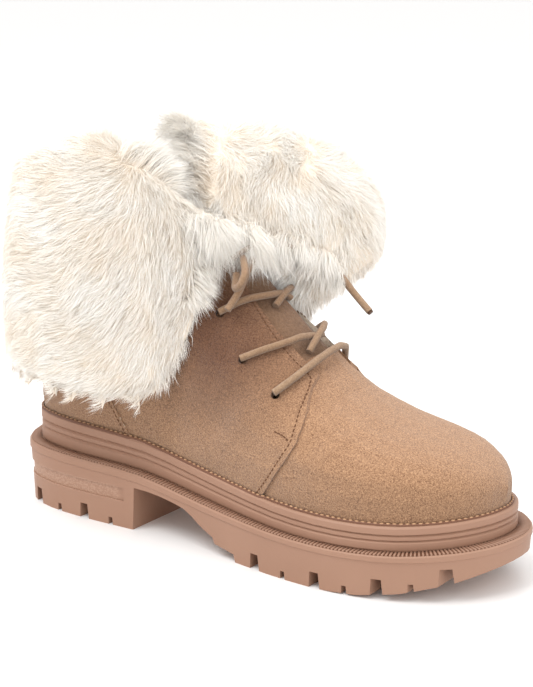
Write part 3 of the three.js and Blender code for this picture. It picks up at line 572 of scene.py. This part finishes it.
def sole_lines():
    """Round the boot: the outer and inner side of the ledge, and the foot of the upper."""
    lines = {"outer": [], "inner": [], "foot": [], "foot_out": []}
    for start, way in sole_rays():
        looks = (outsole_surface.ray_cast(level(start, height * MM), way) for height in RIM_HEIGHTS)
        rim = min((look for look in looks if look[0]), key=lambda look: look[3])[0]
        top = from_above(outsole_surface, rim + way * PAST_RIM)
        band = midsole_surface.ray_cast(level(start, top.z + BAND_LOOK), way)[0]
        for label, share in LEDGE_SHARES:
            over = level(rim, top.z).lerp(level(band, top.z), share)
            lines[label].append(from_above(outsole_surface, over) + UP * LIFT)
        welt = from_above(midsole_surface, band + way * PAST_WELT)
        feet = (upper_surface.ray_cast(level(start, welt.z + rise), way)[0] for rise in FOOT_LOOKS)
        foot = next((foot for foot in feet if foot is not None), None)
        if foot is not None:
            lines["foot"].append(level(foot, welt.z))
            lines["foot_out"].append(-way)
    return lines


lines = sole_lines()
print("sole lines:", {key: len(value) for key, value in lines.items()})


# %% [markdown]
# ## Many small things as one mesh
# A boot has hundreds of stitches and ribs. Each could be an object that shares one mesh, but a
# single joined mesh is lighter to handle, and it is one piece of the boot, as one seam is. A
# unit shape is made with operators, and its copies are placed by arrays of numbers.

# %% Joining copies of a small shape
def joined(name, one, places, material, slot):
    """Copies of a small mesh at places given as matrices, joined from arrays into one piece."""
    corners = np.array([v.co for v in one.verts])
    faces = [[v.index for v in f.verts] for f in one.faces]
    one.free()
    verts = np.concatenate([corners @ np.array(m.to_3x3()).T + np.array(m.translation)
                            for m in places])
    polygons = [[i + k * len(corners) for i in face] for k in range(len(places)) for face in faces]
    mesh = bpy.data.meshes.new(name)
    mesh.from_pydata(verts.tolist(), [], polygons)
    mesh.polygons.foreach_set("use_smooth", [True] * len(polygons))
    print(name + ":", len(places), "copies,", len(polygons), "faces")
    return piece_of(name, mesh, [material], slot)


def stitch_shape(length, width, thick):
    """One stitch: a small round-ended bar of thread along X."""
    bm = bmesh.new()
    bmesh.ops.create_uvsphere(bm, u_segments=6, v_segments=5, radius=0.5)
    bmesh.ops.rotate(bm, verts=bm.verts, matrix=Matrix.Rotation(math.pi / 2, 3, "Y"))
    bmesh.ops.scale(bm, verts=bm.verts, vec=(length, width, thick))
    bm.verts.index_update()
    return bm


def frame_at(point, along, normal):
    """A place with X along a line and Z out of the surface."""
    side = normal.cross(along).normalized()
    along = side.cross(normal).normalized()
    matrix = Matrix((along, side, normal)).transposed().to_4x4()
    matrix.translation = point
    return matrix


# %% [markdown]
# ## Seams
# The quarter is stitched over the vamp a few millimetres behind its front edge, and a short bar
# of thread holds its corner. The counter is stitched down in the same way at the heel. A row of
# stitches could be a pattern on the suede. Small bars of thread catch the light and throw a
# shadow of their own, so they are modelled.

# %% Seams of quarter, counter and corner
FLAT_ENOUGH, THREAD_LIFT = 0.5, 0.0001


def from_side(x, z, side):
    """The point of the upper seen level from its side, in the boot's millimetres."""
    start = mm(x, 0, z) + Vector((0, side * RAY_START, 0))
    return upper_surface.ray_cast(start, Vector((0, -side, 0)))[0]


def sew(name, line, material, pitch=STITCH_PITCH, size=(1.9, 0.75, 0.6)):
    """A row of stitches on the upper along a line."""
    places = []
    for point, along in walked(line, pitch * MM):
        spot, normal, _, _ = upper_surface.find_nearest(point)
        if abs(normal.dot(along)) < FLAT_ENOUGH:
            places.append(frame_at(spot + normal * THREAD_LIFT, along, normal))
    return joined(name, stitch_shape(*[v * MM for v in size]), places, material, "suede")


SEAM_NEAR = [mm(*point) for point in (
    (166, -39.8, 36.7), (170.3, -40.9, 41.9), (175.6, -41.9, 49.2), (179.3, -41.4, 55.2),
    (182.7, -40.6, 60.6), (184.5, -38.3, 65.2), (184.5, -35.8, 69.9), (183.5, -31, 75.4),
    (182.8, -25.7, 80.9), (181.8, -20, 85.3), (180.2, -15.2, 89.3), (177, -13.9, 91.8),
    (170.1, -13.8, 96.3), (164.4, -13.1, 100.3), (158.3, -11.9, 105.1), (152.8, -10.7, 109.5),
    (147.7, -9.2, 114), (142.5, -7.8, 118.5), (137, -7.2, 123.2))]
SEAM_FAR_TOP = [mm(*point) for point in (
    (183, 24, 82), (179.5, 23, 87), (174, 22.5, 92), (162, 21.5, 102), (149, 19.5, 113))]
COUNTER_SIDE = [(78.3, 48), (76, 52), (71, 61), (62, 76)]
CORNER_BAR = [(175, 67.6), (179.5, 66.6), (183.3, 65)]
mirrored = [from_side(p.x / MM + HEEL_CENTRE, p.z / MM, 1) for p in SEAM_NEAR[1:7]]
SEAM_FAR = mirrored + SEAM_FAR_TOP
for side, label, front in ((-1, "near", SEAM_NEAR), (1, "far", SEAM_FAR)):
    sew("quarter_seam_" + label, smooth_line(front, 8), dark_thread)
    counter = [from_side(x, z, side) for x, z in COUNTER_SIDE]
    sew("counter_seam_" + label, smooth_line(counter, 8), dark_thread)
    bar = [from_side(x, z, side) for x, z in CORNER_BAR]
    sew("corner_bar_" + label, smooth_line(bar, 6), dark_thread, 1.9, (1.8, 0.8, 0.7))

# %% [markdown]
# ## Welt and rim
# Between upper and midsole runs a groove with light stitches in it. Lower down, the ledge of the
# outsole has fine ribs across its floor. The shade in both is painted: the groove is a dark round
# strip along the foot of the upper, the ledge's floor a dark band between two of the sole's lines.
# Stitches and ribs are small copies. All could be cut into the solids, but they are too fine to be
# worth a cut.

# %% Groove and stitches of the welt
GROOVE_OUT, GROOVE_LIFT, GROOVE_RADIUS, GROOVE_ROUND = 0.0008, 0.0001, 0.0009, 2
STITCH_LIFT, WELT_STITCH = 0.0007, (0.0021, 0.0011, 0.0010)


def poly_curve(name, line, radius, roundness):
    """A round strip along a line, as a curve."""
    curve = bpy.data.curves.new(name, "CURVE")
    curve.dimensions = "3D"
    spline = curve.splines.new("POLY")
    spline.points.add(len(line) - 1)
    for point, co in zip(spline.points, line):
        point.co = (*co, 1.0)
    curve.bevel_depth = radius
    curve.bevel_resolution = roundness
    return curve, spline


def make_groove(line):
    """The closed dark strip of painted shade in the welt's groove, turned into a mesh."""
    curve, spline = poly_curve("welt_groove_shade", line, GROOVE_RADIUS, GROOVE_ROUND)
    spline.use_cyclic_u = True
    holder = bpy.data.objects.new("welt_groove_line", curve)
    bpy.context.scene.collection.objects.link(holder)
    bpy.context.view_layer.update()
    shown = holder.evaluated_get(bpy.context.evaluated_depsgraph_get())
    mesh = bpy.data.meshes.new_from_object(shown)
    bpy.data.objects.remove(holder)
    mesh.name = "welt_groove_shade"
    mesh.materials.clear()
    mesh.polygons.foreach_set("use_smooth", [True] * len(mesh.polygons))
    return mesh


groove = [foot + out * GROOVE_OUT + UP * GROOVE_LIFT
          for foot, out in zip(lines["foot"], lines["foot_out"])]
# The dark strip is painted shade in the groove between upper and midsole.
piece_of("welt_groove_shade", make_groove(groove), [groove_shade_rubber], "foam")
stitches = [frame_at(point + UP * STITCH_LIFT, along, UP)
            for point, along in walked(groove, WELT_PITCH * MM, closed=True)]
joined("welt_stitches", stitch_shape(*WELT_STITCH), stitches, welt_thread, "foam")


# %% Painted shade on the floor of the ledge
def make_ledge_shade():
    """A dark strip of painted shade on the ledge, from behind the rim to the foot of the midsole.
    """
    bm = bmesh.new()
    rows = [[bm.verts.new(point) for point in lines[label]] for label in ("outer", "inner")]
    count = len(rows[0])
    for k in range(count):
        after = (k + 1) % count
        bm.faces.new((rows[0][k], rows[0][after], rows[1][after], rows[1][k]))
    return bm


# The dark strip on the ledge is painted shade; the ribs stand on it.
place_piece("ledge_shade", soften(make_ledge_shade(), 40), [groove_shade_rubber], "foam")


# %% Ribs across the ledge
RIB_WIDTH, RIB_HEIGHT = 0.0009, 0.0012


def rib_shape():
    """A flat bar along X, one unit long."""
    bm = bmesh.new()
    bmesh.ops.create_cube(bm, size=1.0)
    bmesh.ops.scale(bm, verts=bm.verts, vec=(1.0, RIB_WIDTH, RIB_HEIGHT))
    bm.verts.index_update()
    return bm


ribs = []
for point, _ in walked(lines["outer"], RIB_PITCH * MM, closed=True):
    gaps = [(outer - point).length for outer in lines["outer"]]
    k = gaps.index(min(gaps))
    across = lines["outer"][k] - lines["inner"][k]
    place = frame_at(point - across / 2, across.normalized(), UP)
    ribs.append(place @ Matrix.Diagonal((across.length, 1, 1, 1)))
joined("ledge_ribs", rib_shape(), ribs, rubber, "rubber")

# %% [markdown]
# ## The loose lace
# The lace is a round cord covered in suede. Its bar and crossings are solid pieces. The bow's
# loop and the two ends hang free. They could be mesh tubes too, but a curve keeps its route as a
# few points.

# %% Loop and ends of the bow, in millimetres from the back of the sole
NEAR_LOOP = [mm(136.6, -9.4, 142), mm(141, -15, 141.5), mm(146, -21, 138), mm(145.5, -24, 132.5),
             mm(141, -22, 130), mm(137, -15.5, 135)]
NEAR_END = [mm(138, -2, 142.5), mm(139.5, -6, 140), mm(139.5, -9.5, 136), mm(139, -12.5, 131),
            mm(138, -17, 124.5), mm(136.5, -22.5, 118.5)]
FAR_END = [mm(137.5, 8, 144.5), mm(146, 20, 143), mm(153, 30, 138), mm(160, 38, 130),
           mm(169, 41, 119), mm(178, 41, 111)]
LACE_ROUND = 4
TIP_LENGTH, TIP_OUT, TIP_WIDE, TIP_NARROW = 0.0016, 0.0004, 0.46, 0.4


def make_tip(line):
    """A short, slightly tapered cap on the end of a line."""
    cap = bmesh.new()
    bmesh.ops.create_cone(cap, cap_ends=True, segments=12, radius1=LACE_DIAMETER * MM * TIP_WIDE,
                          radius2=LACE_DIAMETER * MM * TIP_NARROW, depth=TIP_LENGTH)
    way = (line[-1] - line[-2]).normalized()
    bmesh.ops.rotate(cap, verts=cap.verts, matrix=UP.rotation_difference(way).to_matrix())
    bmesh.ops.translate(cap, verts=cap.verts, vec=line[-1] + way * TIP_OUT)
    return soften(cap, 40)


def lace(name, points, node_name, tipped=False):
    """A free run of the lace along points, as a round curve, with a tip at its end if tipped."""
    line = smooth_line(points, 6)
    curve, _ = poly_curve(name, line, LACE_DIAMETER * MM / 2, LACE_ROUND)
    curve.use_fill_caps = True
    piece = piece_of(name, curve, [lace_suede], "lace", node_name)
    tips = [place_piece(name + "_tip", make_tip(line), [tip_plastic], "lace")] if tipped else []
    return piece


lace("lace_bow_loop", NEAR_LOOP, "lace_loop")
lace("lace_near_end", NEAR_END, "lace_end_near")
lace("lace_far_end", FAR_END, "lace_end_far", tipped=True)

# %% [markdown]
# ## Fur
# The pile is about a centimetre of fine hairs that gather in soft locks, lie down and back over
# the cuff, and stand off at its hem. Each hair is a thin tapering ribbon of three triangles.
# Roots lie a little inside the cuff's form, so that the pile fills it and its tips make the
# outline. Locks come from pulling tips to shared centres. A hair system could grow such a pile,
# but ribbons made from arrays are a plain mesh, the same on each run.

# %% The skin that carries the fur
rng = np.random.default_rng(11)


def varied(low, spread, count):
    """Random values from low up to a spread above it."""
    return low + spread * rng.random(count)


def skin(name):
    """Points, normals and triangles of a node's welded mesh as arrays."""
    bm = welded(name)
    bmesh.ops.triangulate(bm, faces=bm.faces)
    bm.normal_update()
    points = np.array([v.co for v in bm.verts])
    normals = np.array([v.normal for v in bm.verts])
    bm.verts.index_update()
    triangles = np.array([[v.index for v in f.verts] for f in bm.faces])
    bm.free()
    return points, normals, triangles


def scattered(name, count):
    """Random places on a node, evenly by area, with smooth normals and those of the faces."""
    points, normals, triangles = skin(name)
    a, b, c = (points[triangles[:, k]] for k in range(3))
    flat = np.cross(b - a, c - a)
    area = np.linalg.norm(flat, axis=1)
    pick = rng.choice(len(area), count, p=area / area.sum())
    u, v = rng.random(count), rng.random(count)
    over = u + v > 1
    u[over], v[over] = 1 - u[over], 1 - v[over]
    w = 1 - u - v
    place = w[:, None] * a[pick] + u[:, None] * b[pick] + v[:, None] * c[pick]
    corner = [normals[triangles[pick, k]] for k in range(3)]
    soft = w[:, None] * corner[0] + u[:, None] * corner[1] + v[:, None] * corner[2]
    face = flat[pick] / np.maximum(area[pick], 1e-12)[:, None]
    return place, unit(soft), face


def unit(vectors):
    """Vectors brought to length one."""
    return vectors / np.maximum(np.linalg.norm(vectors, axis=-1, keepdims=True), 1e-9)


def waves(place, scale, seed):
    """A slow field of three values between -1 and 1, from a few waves."""
    turn = np.random.default_rng(seed)
    total = np.zeros_like(place)
    for k in range(5):
        way = turn.normal(size=(3, 3)) * scale * (0.6 + 0.3 * k)
        total += np.sin(place @ way + turn.random(3) * 6.3)
    return total / 3


# %% [markdown]
# Each hair is painted warmer and darker at its root, as painted shade for the light caught
# between its neighbours, and nearly white at its tip. The mesh carries two attributes for that:
# how far along the hair a point lies, and how light the whole hair is. They follow the hair
# wherever it bends, as no noise could.

# %% The fur's material
def make_fur():
    """Cream hairs, painted warmer and darker at the root as painted shade."""
    material, tree, shader = new_material("fur", 0.85, Specular_IOR_Level=0.15)
    along = node(tree, "ShaderNodeAttribute", attribute_name="along")
    tone = node(tree, "ShaderNodeAttribute", attribute_name="tone")
    # Painted shade: the root colours are darker and warmer than the tips.
    root = mixed(tree, tone.outputs["Fac"], paint(228, 209, 186), paint(250, 242, 231))
    tip = mixed(tree, tone.outputs["Fac"], paint(248, 239, 226), paint(255, 254, 251))
    colour = mixed(tree, ranged(tree, along.outputs["Fac"], 0.0, 0.7), root, tip)
    tree.links.new(colour, shader.inputs["Base Color"])
    return material


fur = make_fur()
print("fur:", fur.name)


# %% Hairs as one mesh from arrays
ROWS = (0.0, 0.5, 1.0)
ROW_WIDTHS = (1.0, 0.8)
ALONG = (0, 0, 0.5, 0.5, 1.0)
HAIR_FACES = [[0, 1, 3], [0, 3, 2], [2, 3, 4]]
HAIR_WIDTH = 0.00023
BOW = 1.15


def ribbons(name, verts):
    """A mesh of ribbons with five points and three triangles each."""
    count = len(verts)
    first = 5 * np.arange(count)[:, None, None]
    triangles = (np.array(HAIR_FACES)[None] + first).reshape(-1)
    mesh = bpy.data.meshes.new(name)
    mesh.vertices.add(count * 5)
    mesh.vertices.foreach_set("co", verts.astype(np.float32).ravel())
    mesh.loops.add(len(triangles))
    mesh.loops.foreach_set("vertex_index", triangles.astype(np.int32))
    mesh.polygons.add(len(triangles) // 3)
    mesh.polygons.foreach_set("loop_start", np.arange(0, len(triangles), 3, dtype=np.int32))
    mesh.update(calc_edges=True)
    return mesh


def hairs(name, root, lie, tip_way, length, width, tone):
    """Hairs from roots: lie is the first direction, tip_way the last, both of length one."""
    count = len(root)
    across = unit(np.cross(lie + tip_way, rng.normal(size=(count, 3))))
    line = [root + (lie * (r - r * r * 0.5) + tip_way * (r * r * 0.5)) * (length * BOW)[:, None]
            for r in ROWS]
    verts = np.empty((count, 5, 3))
    for k, share in enumerate(ROW_WIDTHS):
        half = across * (width * share / 2)[:, None]
        verts[:, 2 * k], verts[:, 2 * k + 1] = line[k] - half, line[k] + half
    verts[:, 4] = line[2]
    mesh = ribbons(name, verts)
    for label, values in (("along", np.tile(ALONG, count)), ("tone", np.repeat(tone, 5))):
        attribute = mesh.attributes.new(label, "FLOAT", "POINT")
        attribute.data.foreach_set("value", values.astype(np.float32))
    print(name + ":", len(mesh.polygons), "triangles")
    return piece_of(name, mesh, [fur], "fur")


# %% [markdown]
# The pile on the cuff flows away from the lacing, round to the back and down. Near the hem it
# stands off, and inside the mouth it is shorter and points up and in.

# %% Zones of the cuff
SHAFT = mm(60, 0, 0)
SHAFT_RADII = (0.046, 0.041)
MOUTH_FACING, MOUTH_OFF, UNDER_FACING, LIP = 0.15, 1.02, -0.1, 0.15


def zones(place, face):
    """Directions away from the shaft's middle, and which places lie in the mouth or underneath."""
    radial = unit((place - np.array(SHAFT)) * [1, 1, 0])
    off = np.hypot((place[:, 0] - SHAFT.x) / SHAFT_RADII[0],
                   (place[:, 1] - SHAFT.y) / SHAFT_RADII[1])
    facing_out = (face * radial).sum(1)
    mouth = (facing_out < MOUTH_FACING) & (off < MOUTH_OFF)
    return radial, mouth, (facing_out < UNDER_FACING) & ~mouth


# %% The way the pile lies, and its length
CUFF_HAIRS, LOCKS = 300000, 12000
PILE, DEEP = 0.0092, 0.003
SWIRL_WIDE, SWIRL_FINE = (60.0, 3, 0.7), (190.0, 7, 0.45)
BACK_RISE, SWIRL_SHARE = 0.45, 0.75
MOUTH_RISE, MOUTH_IN, MOUTH_SWIRL = 0.4, 0.6, 0.4
RIM_EXTRA, UNDER_LESS, UNDER_STEEP = 0.35, 0.3, 1.6
LIP_LENGTH, INSIDE_LENGTH, UNDER_LENGTH = 1.7, 0.7, 0.6


def swirled(place):
    """Wide and fine swirls of the pile."""
    wide, fine = (waves(place, scale, seed) * share
                  for scale, seed, share in (SWIRL_WIDE, SWIRL_FINE))
    return wide + fine


def flowing(place, normal, radial, mouth, swirl):
    """The way each hair lies along the skin: back and down, or up and into the mouth."""
    back = unit(np.cross([0, 0, 1.0], radial)) * np.where(place[:, 1] < 0, -1.0, 1.0)[:, None]
    beside = (radial[:, 1] ** 2)[:, None]
    flow = np.array([0, 0, -1.0]) + (back + [0, 0, BACK_RISE]) * beside + swirl * SWIRL_SHARE
    flow[mouth] = (np.array([0, 0, MOUTH_RISE]) - radial[mouth] * MOUTH_IN
                   + swirl[mouth] * MOUTH_SWIRL)
    flow -= normal * (flow * normal).sum(1)[:, None]
    return unit(flow)


def lengths(place, normal, rim, mouth, under):
    """Each hair's length: longer at the hem and the lip, shorter underneath and inside."""
    count = len(place)
    length = PILE * varied(0.75, 0.5, count) * (1 + RIM_EXTRA * rim * rng.random(count))
    length *= 1 - UNDER_LESS * np.clip(-normal[:, 2] * UNDER_STEEP, 0, 1)
    length[mouth] *= np.where(place[mouth, 2] > LIP, LIP_LENGTH, INSIDE_LENGTH)
    length[under] *= UNDER_LENGTH
    return length


# %% Locks and tones
def gathered(root, tip_point, strength):
    """Pulls tips to shared lock centres, which are random ones of the tips themselves."""
    chosen = rng.choice(len(root), LOCKS, replace=False)
    tree = KDTree(LOCKS)
    for k, index in enumerate(chosen):
        tree.insert(root[index], k)
    tree.balance()
    nearest = np.array([tree.find(p)[1] for p in root])
    return tip_point + (tip_point[chosen[nearest]] - tip_point) * strength[:, None], nearest


def toned(place, lock_of):
    """How light each hair is, by lock, by hair and in patches."""
    lock_tone = np.random.default_rng(5).random(LOCKS)[lock_of]
    patchy = waves(place, 34.0, 9)[:, 0] * 0.15 + waves(place, 110.0, 13)[:, 0] * 0.25
    return np.clip(0.42 + 0.2 * lock_tone + 0.3 * rng.random(len(place)) + patchy, 0, 1)


# %% The cuff's pile, in pieces by angle round the shaft
TURNS = (("near_flap", 0, 70), ("near_side", 70, 120), ("back", 120, 205),
         ("far_side", 205, 255), ("far_flap", 255, 305), ("far_front", 305, 360))
RIM_START, RIM_STEEP, RIM_TOP = 1.25, 1.6, 0.3
STAND, STAND_RIM, FALL, FALL_RIM = 0.55, 0.5, 0.04, 0.6
LIE_FLOW, LIE_SWIRL, FALL_FLOW, STRAY = 0.8, 0.1, 1.05, 0.26
KEPT_UNDER, KEPT_INSIDE = 0.1, 0.3


def make_cuff_fur():
    """The whole pile of the cuff."""
    place, normal, face = scattered("cuff", CUFF_HAIRS)
    count = len(place)
    radial, mouth, under = zones(place, face)
    swirl = swirled(place)
    flow = flowing(place, normal, radial, mouth, swirl)
    rim = np.clip(RIM_START - np.abs((normal * radial).sum(1)) * RIM_STEEP, 0, 1)
    rim = rim * ~mouth * (normal[:, 2] < RIM_TOP)
    length = lengths(place, normal, rim, mouth, under)
    lie = unit(normal * (STAND + STAND_RIM * rim)[:, None] + flow * LIE_FLOW + swirl * LIE_SWIRL
               + rng.normal(size=(count, 3)) * STRAY)
    fall = unit(normal * (FALL + FALL_RIM * rim)[:, None] + flow * FALL_FLOW
                + rng.normal(size=(count, 3)) * STRAY)
    root = place - normal * DEEP
    reach = (length * (BOW / 2))[:, None]
    pulled, lock_of = gathered(root, root + (lie + fall) * reach, varied(0.15, 0.35, count))
    fall = unit((pulled - root) / reach - lie)
    tone = toned(place, lock_of)
    width = HAIR_WIDTH * varied(0.75, 0.5, count)
    keep = ~under | (rng.random(count) < KEPT_UNDER)
    keep &= ~mouth | (place[:, 2] > LIP) | (rng.random(count) < KEPT_INSIDE)
    angle = np.degrees(np.arctan2(-radial[:, 1], radial[:, 0])) % 360
    parts = {label: ~mouth & (angle >= low) & (angle < high) for label, low, high in TURNS}
    parts["mouth"] = mouth
    for label, part in parts.items():
        mask = part & keep
        hairs("fur_" + label, root[mask], lie[mask], fall[mask],
              length[mask], width[mask], tone[mask])


make_cuff_fur()

# %% [markdown]
# Where the two flaps part over the lacing the pile is longer. It falls over the knot, and over
# the far end of the lace as far as its last centimetres. Two more tufts bridge the mouth between
# the flaps. All grow from the flaps' skin along short lines. Each has its first and last
# direction, its length in metres and its count of hairs.

# %% Tufts that fall over the lacing and the mouth
TUFTS = [
    {"line": [mm(112, -20, 164), mm(117, -14, 156), mm(120, -13, 148), mm(118, -17, 138),
              mm(117, -25, 121)],
     "first": (0.8, -0.35, -0.1), "last": (0.7, 0.0, -0.75), "length": 0.012, "count": 5000},
    {"line": [mm(114, -9, 163), mm(118, -3, 157), mm(122, 5, 151), mm(129, 8, 150)],
     "first": (0.8, -0.6, 0.2), "last": (0.35, -0.3, -0.95), "length": 0.029, "count": 8000},
    {"line": [mm(122, 5, 151), mm(129, 8, 150), mm(134, 13, 148), mm(140, 18, 146)],
     "first": (0.7, -0.75, 0.2), "last": (-0.15, -0.35, -0.9), "length": 0.021, "count": 6000},
    {"line": [mm(88, -38, 190), mm(94, -37, 187), mm(99, -35, 183), mm(104, -30, 176)],
     "first": (-0.1, 0.8, 0.6), "last": (0.05, 0.95, -0.1), "length": 0.021, "count": 8000},
    {"line": [mm(69, 26, 194), mm(76, 25, 193), mm(83, 17, 180), mm(90, 11, 175), mm(97, 6, 169)],
     "first": (-0.1, -0.7, 0.7), "last": (0.05, -0.95, 0.0), "length": 0.018, "count": 8000},
    {"line": [mm(140, 18, 147), mm(147, 24, 145), mm(153, 32, 140), mm(160, 40, 133),
              mm(164, 43, 128)],
     "first": (0.75, -0.7, 0.1), "last": (0.0, -0.3, -0.95), "length": 0.017, "count": 7000},
]
TUFT_STEP, TUFT_SPREAD, TUFT_STRAY = 0.0005, 0.0022, 0.12
TUFT_WAVES, TUFT_SEED = 420.0, 20


def tuft_roots(tree, tuft):
    """Roots in the flap's skin, scattered along the tuft's line."""
    count = tuft["count"]
    line = walked(smooth_line(tuft["line"], 8), TUFT_STEP)
    spots = [line[i][0] for i in rng.integers(0, len(line), count)]
    strays = rng.normal(size=(count, 3)) * TUFT_SPREAD
    found = [tree.find_nearest(spot + Vector(stray)) for spot, stray in zip(spots, strays)]
    return np.array([one[0] for one in found]) - np.array([one[1] for one in found]) * DEEP


def make_tufts():
    """Longer locks along the edges of the flaps."""
    cuff_surface = surface("cuff")
    for k, tuft in enumerate(TUFTS):
        count = tuft["count"]
        root = tuft_roots(cuff_surface, tuft)
        lock = waves(root, TUFT_WAVES, TUFT_SEED + k)
        lie = unit(np.array(tuft["first"]) + lock * 0.35 + rng.normal(size=(count, 3)) * TUFT_STRAY)
        fall = unit(np.array(tuft["last"]) + lock * 0.4 + rng.normal(size=(count, 3)) * TUFT_STRAY)
        length = tuft["length"] * varied(0.7, 0.5, count)
        width = HAIR_WIDTH * varied(0.75, 0.5, count)
        tone = varied(0.4, 0.6, count)
        hairs("fur_tuft_%d" % (k + 1), root, lie, fall, length, width, tone)


make_tufts()

# %% [markdown]
# Under the hairs lies the pelt that they grow from. It closes the small gaps between them, so
# that no light comes through. It could be left out under a denser pile, at a cost in hairs. The
# cuff's own form is used, with its surface moved in a little less than the roots.

# %% The skin under the pile
SKIN_DEPTH = DEEP * 0.8


def sunk(name, depth):
    """A node's welded mesh with its surface moved in by a depth."""
    bm = welded(name)
    bm.normal_update()
    inward = [vertex.co - vertex.normal * depth for vertex in bm.verts]
    for vertex, co in zip(bm.verts, inward):
        vertex.co = co
    return soften(bm, 80)


fur_base = place_piece("fur_skin", sunk("cuff", SKIN_DEPTH), [fur_skin], "fur", "cuff")
print("skin:", len(fur_base.data.polygons), "faces")

# %% [markdown]
# ## Floor, light and camera
# A pale floor that reaches far back, one broad lamp up and to the left of the camera, weaker
# ones on the right and behind, and a light sky give the soft shadow of a studio table. A single
# hard lamp would draw sharp shadows in the fur, so the sky does most of the lighting.

# %% Floor
FLOOR_HALF = 6.0
floor_mesh = bmesh.new()
bmesh.ops.create_grid(floor_mesh, x_segments=1, y_segments=1, size=FLOOR_HALF)
floor_data = bpy.data.meshes.new("floor")
floor_mesh.to_mesh(floor_data)
floor_mesh.free()
floor = bpy.data.objects.new("floor", floor_data)
bpy.context.scene.collection.objects.link(floor)
floor_material, _, floor_shader = new_material("pale_floor", 0.6, Specular_IOR_Level=0.2)
floor_shader.inputs["Base Color"].default_value = paint(245, 245, 245)
floor_data.materials.append(floor_material)


# %% Lamps and sky
def turned_to(holder, place, aim):
    """Puts a lamp or camera at a place and turns it to an aim."""
    holder.location = place
    holder.rotation_euler = (Vector(aim) - Vector(place)).to_track_quat("-Z", "Y").to_euler()
    bpy.context.scene.collection.objects.link(holder)


def lamp(name, place, aim, size, power):
    """A square soft light aimed at a point; size in metres, power in watts."""
    data = bpy.data.lights.new(name, "AREA")
    data.size, data.energy = size, power
    turned_to(bpy.data.objects.new(name, data), place, aim)


world = bpy.data.worlds.new("studio")
bpy.context.scene.world = world
world.use_nodes = True
sky = world.node_tree.nodes["Background"]
sky.inputs["Color"].default_value = (1.0, 0.99, 0.98, 1.0)
sky.inputs["Strength"].default_value = 1.08
lamp("key", (-0.2, -0.75, 1.5), (0.08, 0, 0.08), 0.9, 14)
lamp("fill", (1.3, -0.5, 0.8), (0.1, 0, 0.06), 1.0, 4)
lamp("rim", (-0.2, 1.2, 1.1), (0.08, 0, 0.1), 0.8, 4)

# %% Camera
CAMERA_PLACE, CAMERA_AIM = (0.5995, -0.7139, 0.3241), (0.0954, 0.0123, 0.0943)
camera_data = bpy.data.cameras.new("camera")
camera_data.lens = 95.5
camera_data.sensor_width = 36
camera = bpy.data.objects.new("camera", camera_data)
turned_to(camera, CAMERA_PLACE, CAMERA_AIM)
bpy.context.scene.camera = camera
bpy.context.scene.view_settings.view_transform = "Standard"
print("camera:", camera.name, camera_data.lens, "mm")
